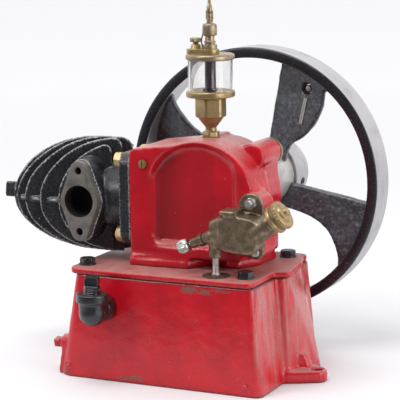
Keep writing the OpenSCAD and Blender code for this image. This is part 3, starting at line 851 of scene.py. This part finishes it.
class MakeCover(bpy.types.Operator):
    """Casts the cover plate, with dust and painted top light on it, and its rounded lip smoothed
    by wear
    """

    bl_idname = "engine.make_cover"
    bl_label = "Tank cover"

    def execute(self, context):
        cover = cast_piece(
            "cover_plate", ["tank_cover_plate"], cell=1.2, passes=4, waviness=0.3
        )
        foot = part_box("tank_cover_plate")[0].z
        points, _ = read_points(cover.data)
        seam = np.exp(-(((points[:, 2] - foot) / (1.3 * MM)) ** 2)) * 1.4
        paint_mask(cover.data, "grime", seam)
        dress(cover, "engine", "dusty_red", "dusty_red_enamel", "tank_cover_plate")
        return {"FINISHED"}


class MakeCoverBolts(bpy.types.Operator):
    """Makes the four hexagon bolts that hold the cover down"""

    bl_idname = "engine.make_cover_bolts"
    bl_label = "Cover bolts"

    def execute(self, context):
        low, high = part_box("cover_bolts")
        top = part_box("tank_cover_plate")[1].z
        washer = 8
        apothem = 12.7 / 2
        rows = eased([
            (0, 0), (washer, 0), (washer, 1.2), (apothem, 1.3, flats(6, 7.1)),
            (apothem, 5.6, flats(6, 7.2)), (apothem, 6.3, flats(6, 6.6)), (5.6, 6.5), (0, 6.4),
        ], 0.25)
        for i, (x, y) in enumerate(corners(low.xy, high.xy, washer)):
            head = turned_piece(
                "cover_bolt_%d" % i, rows, Vector((x, y, top)), UP, spin=17 * i + 8
            )
            # The first bolt stands for the solids of all four.
            replaced = ["cover_bolts"] if i == 0 else []
            dress(head, "engine", "black_bolts", "worn_black_fittings", *replaced)
        return {"FINISHED"}


class MakeFiller(bpy.types.Operator):
    """Makes the filler elbow with its square-headed plug, and the drain plug"""

    bl_idname = "engine.make_filler"
    bl_label = "Filler and drain"

    def execute(self, context):
        sizes = context.scene.engine_sizes
        elbow = cast_piece(
            "filler_elbow_cast", ["filler_elbow"], cell=sizes.fitting_cell, passes=4, waviness=0.4
        )
        dress(elbow, "engine", "black_bolts", "worn_black_fittings", "filler_elbow")
        centre = middle("filler_plug")
        # Heights are from the plug's shoulder, 10 mm below its top.
        shoulder = Vector((centre.x, centre.y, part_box("filler_plug")[1].z - 10 * MM))
        rows = eased([(0, -10), (7.6, -10)], 0.3)
        rows += screw_rows(7.7, -8, 0.3, pitch=1.6, depth=0.6)
        rows += eased([
            (7.1, 0.6), (6.9, 1.6), (5.6, 2.4, flats(4, 7.6)), (6.3, 3.0, flats(4, 8.4)),
            (6.1, 8.6, flats(4, 8.2)), (5.6, 9.6, flats(4, 7.2)), (0, 9.8),
        ], 0.3)
        plug = turned_piece("filler_plug_head", rows, shoulder, UP, spin=20)
        dress(plug, "engine", "black_bolts", "worn_black_fittings", "filler_plug")
        centre = middle("drain_plug")
        end = Vector((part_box("drain_plug")[0].x, centre.y, centre.z))
        rows = eased([
            (0, 0), (3.2, 0, flats(4, 4.2)), (3.9, 0.6, flats(4, 5.0)),
            (3.9, 5.4, flats(4, 5.0)), (3.6, 6.0), (5.0, 6.4), (5.0, 17), (0, 17),
        ], 0.3)
        drain = turned_piece("drain_plug_head", rows, end, RIGHT, spin=12)
        dress(drain, "engine", "red_casting", "red_enamel", "drain_plug")
        return {"FINISHED"}


class MakeCrankcase(bpy.types.Operator):
    """Casts the crankcase with its foot and main bearing, and adds its brass ring and screw"""

    bl_idname = "engine.make_crankcase"
    bl_label = "Crankcase"

    def execute(self, context):
        sizes = context.scene.engine_sizes
        nodes = ["crankcase", "crankcase_foot", "main_bearing"]
        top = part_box("crankcase")[1].z / MM
        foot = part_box("crankcase_foot")[0].z / MM
        # The sunken front panel, in mm: its sides, its sill, and the radius of its arch
        # about the crank.
        panel_left, panel_right, sill, arch_radius = -50, 38, 124, 51
        nowhere = 99  # too far from an edge to round it

        def panel_edges(points):
            """Weight along the broad outer edges of the sunken front panel."""
            x, y, z = (points / MM).T
            arch = np.where(z > 176, np.hypot(x, z - CRANK.z / MM) - arch_radius, nowhere)
            left = np.where((z > 122) & (z < 190), x - panel_left, nowhere)
            bottom = np.where((x > -52) & (x < 38), z - sill, nowhere)
            right = np.where((z > 150) & (z < 200), x - panel_right, nowhere)
            near = np.min(np.abs([arch, left * 0.7, bottom * 1.3, right]), axis=0)
            outer = np.exp(-((near / 6) ** 4)) * np.clip((-28 - y) / 4, 0, 1)
            return np.maximum(outer, np.exp(-((arch / 9) ** 4)) * (y < -16))

        case = cast_piece(
            "crankcase_cast", nodes, cell=sizes.cast_cell - 0.1, passes=5,
            waviness=sizes.cast_waviness, soft_zone=panel_edges, soft_passes=45,
        )
        x, y, z = (read_points(case.data)[0] / MM).T
        seam = np.exp(-(((z - foot) / 1.4) ** 2)) * 1.3
        # Oil has run down round the oiler's shank. Painted shade: the sunken panel is painted
        # darker, most of all near its left wall.
        oiled = np.exp(-((np.hypot(x, y) / 11) ** 4)) * (z > top - 9) * 1.2
        in_panel = (y > -29) & (y < -20) & (z > 126) & (z < 205) & (x > -48) & (x < 37)
        shaded = in_panel * (0.35 + 0.55 * np.exp(-(((x + 34) / 13) ** 2)))
        paint_mask(case.data, "grime", np.max([seam, oiled, shaded], axis=0))
        dress(case, "engine", "red_casting", "red_enamel", *nodes)
        centre = middle("boss_ring")
        seat = Vector((centre.x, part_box("boss_ring")[0].y, centre.z))
        rows = eased([(7, 0), (12.5, 0), (12.5, 3.5), (10.5, 3.5), (10.0, 2.6), (7, 2.6)], 0.35)
        ring = turned_piece("boss_ring_turned", rows, seat, BACK, closed=True)
        dress(ring, "engine", "brass", "aged_brass", "boss_ring")
        screw = eased_piece("case_screw_head", ["case_screw"], width=0.4)
        dress(screw, "engine", "brass", "aged_brass", "case_screw")
        return {"FINISHED"}


class MakeCylinder(bpy.types.Operator):
    """Casts the finned cylinder and adds its exhaust face, nuts and head plug"""

    bl_idname = "engine.make_cylinder"
    bl_label = "Cylinder"

    def execute(self, context):
        sizes = context.scene.engine_sizes
        nodes = ["cylinder_barrel", "cooling_fins", "exhaust_port"]
        cylinder = cast_piece(
            "finned_cylinder", nodes, cell=sizes.fin_cell, passes=2, waviness=0.25
        )
        thin_out(cylinder, MOST_TRIANGLES)
        dress(cylinder, "engine", "black_casting", "black_cylinder_paint", *nodes)
        flange = eased_piece("exhaust_face", ["exhaust_flange"], width=0.7)
        dress(flange, "engine", "bare_iron", "bare_flange_iron", "exhaust_flange")
        # The port is painted dark inside, from just within its mouth to a little past its floor:
        # partly real carbon, partly painted shade.
        port = middle("exhaust_flange")
        past_bore = 15.3  # mm from the port's axis
        past_floor = -20 * MM
        for piece, node, within in (
            (cylinder, "exhaust_port", 0.2), (flange, "exhaust_flange", 0.6),
        ):
            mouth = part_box(node)[0].y + within * MM
            piece.data.materials.append(finishes()["port_soot"])
            for face in piece.data.polygons:
                away = (face.center - port).xz.length / MM
                if away < past_bore and mouth < face.center.y < past_floor:
                    face.material_index = 1
        low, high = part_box("cylinder_nuts")
        face = high.x - 11 * MM
        rows = eased([
            (0, 0), (6.5, 0, flats(6, 7.3)), (6.5, 5.8, flats(6, 7.4)), (6.5, 6.5, flats(6, 6.7)),
            (3.5, 6.5),
        ], 0.3)
        rows += screw_rows(3.5, 6.6, 8.1, pitch=1.0, depth=0.4) + [(3.0, 8.5), (0, 8.5)]
        for i, (y, z) in enumerate(corners(low.yz, high.yz, 7.25)):
            nut = turned_piece(
                "cylinder_nut_%d" % i, rows, Vector((face, y, z)), LEFT, spin=15 + 20 * i
            )
            # The first nut stands for the solids of all four.
            replaced = ["cylinder_nuts"] if i == 0 else []
            dress(nut, "engine", "brass", "pale_nut_brass", *replaced)
        low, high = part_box("head_plug")
        length = (high.x - low.x) / MM
        rows = eased([
            (0, 0), (6, 0), (6, length - 16), (8.4, length - 15.6), (8.4, length - 9.6),
            (6.8, length - 9.0, flats(4, 8.6)), (7.2, length - 8.4, flats(4, 9.3)),
            (7.2, length - 1.0, flats(4, 9.4)), (6.6, length - 0.1, flats(4, 8.2)), (0, length),
        ], 0.4)
        foot = Vector((high.x, 0, middle("head_plug").z))
        plug = turned_piece("head_plug_square", rows, foot, LEFT, spin=8)
        dress(plug, "engine", "black_bolts", "worn_black_fittings", "head_plug")
        return {"FINISHED"}


class MakeMixer(bpy.types.Operator):
    """Casts the bronze mixer and adds its nut, screw, cap, gland, needle and lift rod"""

    bl_idname = "engine.make_mixer"
    bl_label = "Mixer"

    def execute(self, context):
        sizes = context.scene.engine_sizes
        nodes = ["mixer_body", "mixer_flange", "mixer_cover"]
        near_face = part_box("mixer_body")[0].y

        def front_edges(points):
            """Weight near the chamber's front, where the casting is well rounded."""
            return np.clip((near_face + 7 * MM - points[:, 1]) / (4 * MM), 0, 1)

        mixer = cast_piece(
            "mixer_casting", nodes, cell=sizes.fitting_cell, passes=3, waviness=0.4,
            soft_zone=front_edges, soft_passes=9,
        )
        dress(mixer, "engine", "bronze", "browned_bronze", *nodes)
        # Nut and screw sit on the flange's near face, and reach as far as their solids.
        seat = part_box("mixer_flange")[0].y
        nut_tall = (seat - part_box("mixer_bolt")[0].y) / MM
        screw_tall = (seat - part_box("mixer_screw")[0].y) / MM
        nut_profile = eased([
            (0, -0.5), (4.8, 0, flats(6, 5.4)), (4.8, 4.4, flats(6, 5.5)), (4.8, 5, flats(6, 4.8)),
            (3, 5.0),
        ], 0.3)
        nut_profile += screw_rows(3.0, 5.1, nut_tall - 0.4, pitch=1.0, depth=0.35)
        nut_profile += [(2.6, nut_tall), (0, nut_tall)]
        screw_profile = eased([
            (0, -0.5), (3.8, 0), (3.8, 1.8), (3.4, screw_tall), (0, screw_tall),
        ], 0.4)
        for name, node, rows in (
            ("mixer_stud_nut", "mixer_bolt", nut_profile),
            ("mixer_lower_screw", "mixer_screw", screw_profile),
        ):
            centre = middle(node)
            screw = turned_piece(name, rows, Vector((centre.x, seat, centre.z)), FRONT, spin=12)
            dress(screw, "engine", "plain_steel", "plain_steel", node)
        lean = math.radians(54)
        cap_line = Vector((math.sin(lean), 0, math.cos(lean)))
        foot = Vector((82.2, -51, 155.7)) * MM
        grip = knurl(30, 0.45)
        rows = eased([
            (0, -0.5), (11.8, 0), (12.9, 0.8), (12.9, 3.6), (12.0, 4.4), (11.2, 4.8), (11.2, 7.2),
            (12.4, 7.7),
        ], 0.3)
        rows += [(13.4, 8.3, grip), (13.4, 11.2, grip)]
        rows += eased([
            (13.4, 11.2, grip), (12.6, 11.9), (9.2, 12.4), (8.8, 13.8), (4.2, 14.4), (3.8, 16.6),
            (0, 17),
        ], 0.3)
        cap = turned_piece("air_cap_knurled", rows, foot, cap_line)
        # The groove behind the knurled band is marked as a hollow, so it is painted darker.
        along = (read_points(cap.data)[0] - np.array(foot)) @ np.array(cap_line) / MM
        groove = (along > 4.2) & (along < 7.8)
        paint_mask(cap.data, "edge", np.where(groove, -0.25, 0.08))
        dress(cap, "engine", "brass", "aged_brass", "air_cap")
        rows = eased([(0, 0), (5.6, 0)], 0.2)
        rows += [(5.2, 0.6, flats(6, 5.7)), (5.2, 4.6, flats(6, 5.7))]
        rows += screw_rows(4.6, 5.0, 11.6, pitch=1.2, depth=0.5)
        rows += [(4.4, 12.2), (4.0, 13), (0, 13)]
        gland = turned_piece("needle_gland_nut", rows, NEEDLE, NEEDLE_LINE)
        dress(gland, "engine", "bronze", "browned_bronze", "needle_gland")
        grip = knurl(24, 0.5)
        rows = eased([(0, 12.4), (2, 12.6), (2, 14.6), (4.4, 15.2)], 0.3)
        rows += [(5.6, 16.2), (6.4, 18.0, grip), (6.5, 21.0, grip), (6.4, 23.4, grip)]
        rows += eased([(5.7, 25.4), (4.2, 26.7), (2.0, 27.2), (0, 27.3)], 0.3)
        knob = turned_piece("needle_knob_grip", rows, NEEDLE, NEEDLE_LINE)
        dress(knob, "needle", "nickel", "tarnished_nickel", "needle_knob")
        centre = middle("lift_rod")
        foot = Vector((centre.x, centre.y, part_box("lift_rod")[0].z))
        rows = eased([(0, 0.1), (12.2, 0.1), (12.4, 0.5), (12.2, 1.0), (6, 1.3), (0, 1.3)], 0.15)
        washer = turned_piece("lift_rod_washer", rows, foot, UP)
        dress(washer, "engine", "bronze", "rusty_washer")
        rows = eased([(0, 1.0), (3.8, 1.0), (3.7, 2.9), (3.0, 3.2)], 0.25)
        rows += screw_rows(3.0, 3.4, 9.4, pitch=1.1, depth=0.3)
        rows += eased([(2.9, 9.8), (2.6, 29.0), (2.1, 29.9), (0, 30)], 0.3)
        rod = turned_piece("lift_rod_turned", rows, foot, UP)
        dress(rod, "engine", "plain_steel", "plain_steel", "lift_rod")
        return {"FINISHED"}


class MakeOiler(bpy.types.Operator):
    """Turns the drip oiler: shank, cup, glass, tube, rings, lid and feed"""

    bl_idname = "engine.make_oiler"
    bl_label = "Drip oiler"

    def execute(self, context):
        def upright(
            name, node, rows, look="browned_brass", slot="brass", body="engine", at=(0, 0),
            cut=0.25, **shape,
        ):
            """An upright turned piece, its rows measured up from its node's foot."""
            foot = Vector((*at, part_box(node)[0].z))
            part = turned_piece(name, eased(rows, cut), foot, UP, **shape)
            return dress(part, body, slot, look, node)

        hexagon = flats(6, 7.9)
        upright("oiler_shank_turned", "oiler_shank", [
            (0, 1), (5, 1), (5, 10.8), (6.9, 11.2, hexagon), (7.2, 11.9, hexagon),
            (7.2, 18, hexagon), (6.8, 18.7, hexagon), (5.5, 19), (5.1, 19.6), (5.0, 22.4),
            (5.4, 23), (0, 23),
        ], "aged_brass", cut=0.4, spin=10)
        block = flats(6, 14.1)
        upright("oiler_cup", "oiler_body", [
            (0, 0), (5.5, 0), (7.2, 2.2), (9.6, 5.2), (11.6, 8.2), (12.2, 8.8, flats(6, 13.2)),
            (12.7, 9.6, block), (12.7, 25.4, block), (12.3, 26.4, flats(6, 13.6)), (13.6, 26.9),
            (21.4, 27.0), (22.2, 27.8), (22.2, 31.6), (21.6, 32.6), (19.9, 33), (0, 32.6),
        ], "aged_brass", cut=0.5, spin=5)
        low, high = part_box("oiler_glass")
        # The glass and the tube stand a hair clear of the rings.
        hair = 0.02
        top = (high.z - low.z) / MM - hair
        upright("sight_glass_tube", "oiler_glass", [
            (20.2, hair), (20.2, top), (18.8, top), (18.8, hair),
        ], "oiler_sight_glass", slot="oiler_glass", cut=0.2, closed=True)
        upright("oiler_inner_tube", "oiler_tube", [
            (0, hair), (6.8, hair), (6.8, hair + 1.6), (5, hair + 2.2), (5, top - 1.5),
            (5.8, top - 1.2), (5.8, top), (0, top),
        ], "dark_tube_steel", slot="plain_steel")
        upright("oiler_upper_ring", "oiler_top_ring", [
            (0, 0.4), (20.0, 0), (21.7, 0.4), (22.2, 1.1), (22.2, 3.9), (21.5, 5), (20.0, 5.5),
            (0, 5.5),
        ], cut=0.6)
        lid = eased_piece("oiler_lid_lever", ["oiler_lid"], width=0.6, segments=3)
        dress(lid, "engine", "brass", "aged_brass", "oiler_lid")
        grip = knurl(30, 0.35)
        upright("lid_thumb_screw", "lid_screw", [
            (0, 0), (2.5, 0), (2.5, 1.7), (4.4, 2.0), (5.4, 2.5, grip), (5.4, 5.2, grip),
            (4.7, 5.8), (0, 5.9),
        ], at=middle("lid_screw").xy)
        grip = knurl(40, 0.3)
        upright("feed_nut_knurled", "feed_nut", [
            (2.9, 0), (5.4, 0), (6.1, 0.5), (6.6, 1.0, grip), (6.6, 9.0, grip), (6.1, 10.2),
            (5.0, 11), (2.9, 11),
        ], body="feed_adjuster", closed=True)
        # Hexagon at the foot of the feed, with a packed collar on it.
        hexagon = flats(6, 6.6)
        rows = eased([
            (0, 0), (5.8, 0, hexagon), (6.0, 0.5, hexagon), (6.0, 3.4, hexagon), (5.2, 4.0),
            (4.5, 4.4), (4.5, 5.4), (5.2, 5.8), (5.2, 7.0), (4.3, 7.6), (4.3, 11.4), (0, 11.4),
        ], 0.25)
        foot = Vector((0, 0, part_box("feed_spindle")[0].z))
        collar = turned_piece("feed_collar", rows, foot, UP, spin=18)
        dress(collar, "engine", "brass", "browned_brass")
        spindle = eased_piece("feed_fork", ["feed_spindle"], width=0.18)
        dress(spindle, "engine", "brass", "browned_brass", "feed_spindle")
        toggle = eased_piece("feed_toggle_lever", ["feed_toggle"], width=0.25)
        dress(toggle, "toggle", "brass", "browned_brass", "feed_toggle")
        # The spring leans in towards the feed as it rises, and bows away from it.
        low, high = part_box("click_spring")
        path = []
        for t in np.linspace(0, 1, 25):
            bow = 1.19 * math.sin(math.pi * min(1, t * 1.15)) ** 2
            path.append((low.x + (0.9 - bow + 0.9 * t) * MM, 0, low.z + (high.z - low.z) * t))
        spring = wire_piece("click_spring_wire", path, 1.3)
        dress(spring, "engine", "brass", "browned_brass", "click_spring")
        return {"FINISHED"}


class MakeWheel(bpy.types.Operator):
    """Turns the rim and hub, casts the bladed spider, and adds the pin and its catch"""

    bl_idname = "engine.make_wheel"
    bl_label = "Flywheel"

    def execute(self, context):
        low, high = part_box("flywheel_rim")
        wide = (high.y - low.y) / MM
        outer = (high.x - low.x) / 2 / MM
        inner = outer - 10
        rows = [
            (inner, 1.2), (inner + 0.5, 0.3), (inner + 1.3, 0), (outer - 1.6, 0),
            (outer - 0.6, 0.35), (outer, 1.2),
        ]
        rows += [(outer, y) for y in np.linspace(4, wide - 4, 6)]
        rows += [
            (outer, wide - 1.2), (outer - 0.6, wide - 0.35), (outer - 1.6, wide),
            (inner + 1.3, wide), (inner + 0.5, wide - 0.3), (inner, wide - 1.2),
        ]
        rows += [(inner, y) for y in np.linspace(wide - 4, 4, 6)]
        # The rim is large, so it takes twice the usual facets.
        rim = turned_piece(
            "flywheel_rim_turned", rows, Vector((CRANK.x, low.y, CRANK.z)), BACK, closed=True,
            crisp=70, steps=240,
        )
        dress(rim, "flywheel", "black_casting", "machined_iron", "flywheel_rim")
        # Its tread and its inside are bare, and its two sides are painted.
        rim.data.materials.append(finishes()["black_rim_paint"])
        for face in rim.data.polygons:
            if abs(face.normal.y) > 0.35:
                face.material_index = 1
        spider = cast_piece(
            "flywheel_spider", ["flywheel_blades"], cell=1.2, passes=4, waviness=0.9
        )
        dress(spider, "flywheel", "black_casting", "black_wheel_paint", "flywheel_blades")
        low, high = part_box("flywheel_hub")
        deep = (high.y - low.y) / MM
        rows = eased([
            (12.5, 0), (16, 0), (16.5, -0.4), (28, -0.4), (29.8, 0.6), (30, 2), (30, deep - 1.5),
            (29, deep), (12.5, deep),
        ], 0.5)
        near_end = Vector((CRANK.x, low.y + 0.4 * MM, CRANK.z))
        hub = turned_piece("flywheel_hub_turned", rows, near_end, BACK, closed=True)
        dress(hub, "flywheel", "bare_iron", "hub_iron", "flywheel_hub")
        # A dark socket through the blade, and the pin's rounded end inside it.
        centre = middle("starting_pin")
        seat = Vector((centre.x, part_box("starting_pin")[0].y, centre.z))
        rows = eased([(4.5, 8.5), (5.7, 8.5), (5.7, 16), (4.3, 16), (4.3, 8.9)], 0.2)
        socket = turned_piece("starting_pin_socket", rows, seat, BACK, closed=True)
        dress(socket, "flywheel", "black_casting", "worn_black_fittings")
        rows = eased([(0, 9.0), (2.4, 9.2), (3.4, 10.2), (3.6, 11.4), (3.6, 15.6), (0, 15.6)], 0.3)
        loose = Vector((-0.6, 0, -0.4)) * MM
        pin = turned_piece("starting_pin_turned", rows, seat + loose, BACK)
        dress(pin, "flywheel", "plain_steel", "plain_steel", "starting_pin")
        # The slender catch that lies on the blade below the pin.
        blades = BVHTree.FromBMesh(solids_mesh(["flywheel_blades"]))
        before_blades = 50 * MM
        path = []
        for t in np.linspace(0, 1, 14):
            x, z = (51.2 - 5.7 * t) * MM, (244.5 - 25 * t) * MM
            place = blades.ray_cast(Vector((x, before_blades, z)), BACK)[0]
            if place:
                path.append((place.x, place.y - 0.9 * MM, place.z))
        catch = wire_piece("starting_pin_catch", path, 3.6)
        dress(catch, "flywheel", "plain_steel", "plain_steel")
        return {"FINISHED"}


class MakeShaft(bpy.types.Operator):
    """Turns the crankshaft and the belt pulley with its set screw"""

    bl_idname = "engine.make_shaft"
    bl_label = "Shaft and pulley"

    def execute(self, context):
        low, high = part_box("crankshaft")
        length = (high.y - low.y) / MM
        rows = eased([
            (0, 0), (12.5, 0), (12.5, length - 1.2), (11.4, length), (3.2, length),
            (1.2, length - 2.4), (0, length - 2.6),
        ], 0.4)
        shaft = turned_piece("crankshaft_turned", rows, Vector((CRANK.x, low.y, CRANK.z)), BACK)
        dress(shaft, "flywheel", "plain_steel", "machined_iron", "crankshaft")
        low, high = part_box("belt_pulley")
        wide = (high.y - low.y) / MM
        radius = (high.x - low.x) / 2 / MM
        rows = eased([
            (12.45, 0), (radius - 1, 0), (radius, 0.9), (radius, wide / 2), (radius, wide - 0.9),
            (radius - 1, wide), (radius - 7, wide), (radius - 8, wide - 1.5), (19, wide - 1.5),
            (18, wide), (12.45, wide),
        ], 0.4)
        pulley = turned_piece(
            "belt_pulley_turned", rows, Vector((CRANK.x, low.y, CRANK.z)), BACK, closed=True
        )
        dress(pulley, "flywheel", "bare_iron", "machined_iron", "belt_pulley")
        # The set screw's heights are from the crank's axis. It has a hexagon socket.
        slope = math.radians(13)
        line = Vector((math.cos(slope), 0, -math.sin(slope)))
        rows = eased([
            (0, 22), (3.8, 22), (3.8, 33.2), (3.3, 33.9), (1.9, 34, flats(6, 2.1)),
            (1.8, 32, flats(6, 2.0)), (0, 31.8),
        ], 0.2)
        on_axis = Vector((CRANK.x, middle("pulley_screw").y, CRANK.z))
        screw = turned_piece("pulley_set_screw", rows, on_axis, line)
        dress(screw, "flywheel", "black_bolts", "worn_black_fittings", "pulley_screw")
        return {"FINISHED"}


# --- Stage -------------------------------------------------------------------------------


class SetStage(bpy.types.Operator):
    """Lays the floor, pale round the engine, and sets the soft light and the camera"""

    bl_idname = "engine.set_stage"
    bl_label = "Stage"

    def execute(self, context):
        scene = context.scene
        bm = bmesh.new()
        bmesh.ops.create_circle(bm, cap_ends=True, radius=14, segments=96)
        floor_mesh = bpy.data.meshes.new("studio_floor")
        bm.to_mesh(floor_mesh)
        bm.free()
        floor = add_object("studio_floor", floor_mesh)
        pale, tree, shader, where = new_material("pale_paper_floor")
        shader.inputs["Roughness"].default_value = 0.8
        # The floor is pale round the engine and turns dark grey some way in front of it: painted
        # shade standing for the unlit room in front, which darkens what the engine's front faces
        # reflect.
        ahead = add_node(tree, "SeparateXYZ", links={0: where}).outputs["Y"]
        pale_share = add_node(
            tree, "MapRange", {"From Min": -0.36, "From Max": -0.22}, {"Value": ahead}
        ).outputs[0]
        # The pale part is painted a little grey near the engine, as painted shade, and paler far
        # off.
        far = add_node(tree, "VectorMath", {"operation": "LENGTH"}, {0: where}).outputs["Value"]
        far = add_node(tree, "MapRange", {"From Min": 0.3, "From Max": 2.5}, {"Value": far})
        paper = blend_colours(tree, far.outputs[0], linear("#DEDEDF"), linear("#FBFBFB"))
        base = blend_colours(tree, pale_share, linear("#5A5A5C"), paper)
        tree.links.new(base, shader.inputs["Base Color"])
        floor_mesh.materials.append(pale)
        # Soft light from all round, dimmer from the side where the camera stands.
        world = bpy.data.worlds.new("studio")
        scene.world = world
        world.use_nodes = True
        tree = world.node_tree
        tree.nodes.clear()
        ray = add_node(tree, "TexCoord").outputs["Generated"]
        toward = add_node(
            tree, "VectorMath", {"operation": "DOT_PRODUCT", 1: (0.36, -0.90, 0.22)}, {0: ray}
        ).outputs["Value"]
        dim = add_node(
            tree, "MapRange",
            {"From Min": 0.1, "From Max": 0.8, "To Min": 1.32, "To Max": 0.22},
            {"Value": toward},
        ).outputs[0]
        glow = add_node(tree, "Background", {"Color": linear("#FCFCFF")}, {"Strength": dim})
        add_node(tree, "OutputWorld", links={"Surface": glow.outputs[0]})
        for name, place, aim, size, watts in (
            ("top_softbox", (-0.1, -0.6, 1.5), (0, 0, 0.15), 0.8, 13),
            ("right_softbox", (1.45, -0.4, 0.34), (0, 0, 0.16), 1.0, 12),
            ("left_softbox", (-0.9, -1.2, 1.1), (0, 0, 0.12), 0.5, 6),
        ):
            lamp = bpy.data.lights.new(name, "AREA")
            lamp.size = size
            lamp.energy = watts
            lamp_object = bpy.data.objects.new(name, lamp)
            scene.collection.objects.link(lamp_object)
            lamp_object.location = place
            line = Vector(aim) - Vector(place)
            lamp_object.rotation_euler = line.to_track_quat("-Z", "Y").to_euler()
        camera = bpy.data.cameras.new("camera")
        camera.lens = 149.2
        camera.sensor_width = 36
        camera.clip_start, camera.clip_end = 0.05, 60
        camera_object = bpy.data.objects.new("camera", camera)
        scene.collection.objects.link(camera_object)
        camera_object.location = (0.6297, -1.3492, 0.4259)
        # Degrees round from the front, down from level, and round its own line of sight.
        turned, lowered, rolled = 25.44, 10.11, -0.83
        camera_object.rotation_euler = (
            Matrix.Rotation(math.radians(turned), 3, "Z")
            @ Matrix.Rotation(math.radians(90 - lowered), 3, "X")
            @ Matrix.Rotation(math.radians(rolled), 3, "Z")
        ).to_euler()
        scene.camera = camera_object
        scene.view_settings.view_transform = "Standard"
        return {"FINISHED"}


OPERATORS = (
    SetStage, MakeTank, MakeCover, MakeCoverBolts, MakeFiller, MakeCrankcase, MakeCylinder,
    MakeMixer, MakeOiler, MakeWheel, MakeShaft,
)


class EnginePanel(bpy.types.Panel):
    """Lists the engine's settings and pieces"""

    bl_idname = "VIEW3D_PT_engine"
    bl_label = "Stationary engine"
    bl_space_type = "VIEW_3D"
    bl_region_type = "UI"
    bl_category = "Engine"

    def draw(self, context):
        layout = self.layout
        for group in (context.scene.engine_sizes, context.scene.engine_colours):
            box = layout.box()
            for name in group.__annotations__:
                box.prop(group, name)
        for operator in OPERATORS:
            layout.operator(operator.bl_idname)


CLASSES = (EngineSizes, EngineColours, *OPERATORS, EnginePanel)


def register():
    for cls in CLASSES:
        bpy.utils.register_class(cls)
    bpy.types.Scene.engine_sizes = PointerProperty(type=EngineSizes)
    bpy.types.Scene.engine_colours = PointerProperty(type=EngineColours)


def unregister():
    del bpy.types.Scene.engine_colours
    del bpy.types.Scene.engine_sizes
    for cls in reversed(CLASSES):
        bpy.utils.unregister_class(cls)


def main():
    """Registers the add-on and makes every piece."""
    register()
    for operator in OPERATORS:
        group, name = operator.bl_idname.split(".")
        getattr(getattr(bpy.ops, group), name)()


if __name__ == "__main__":
    main()
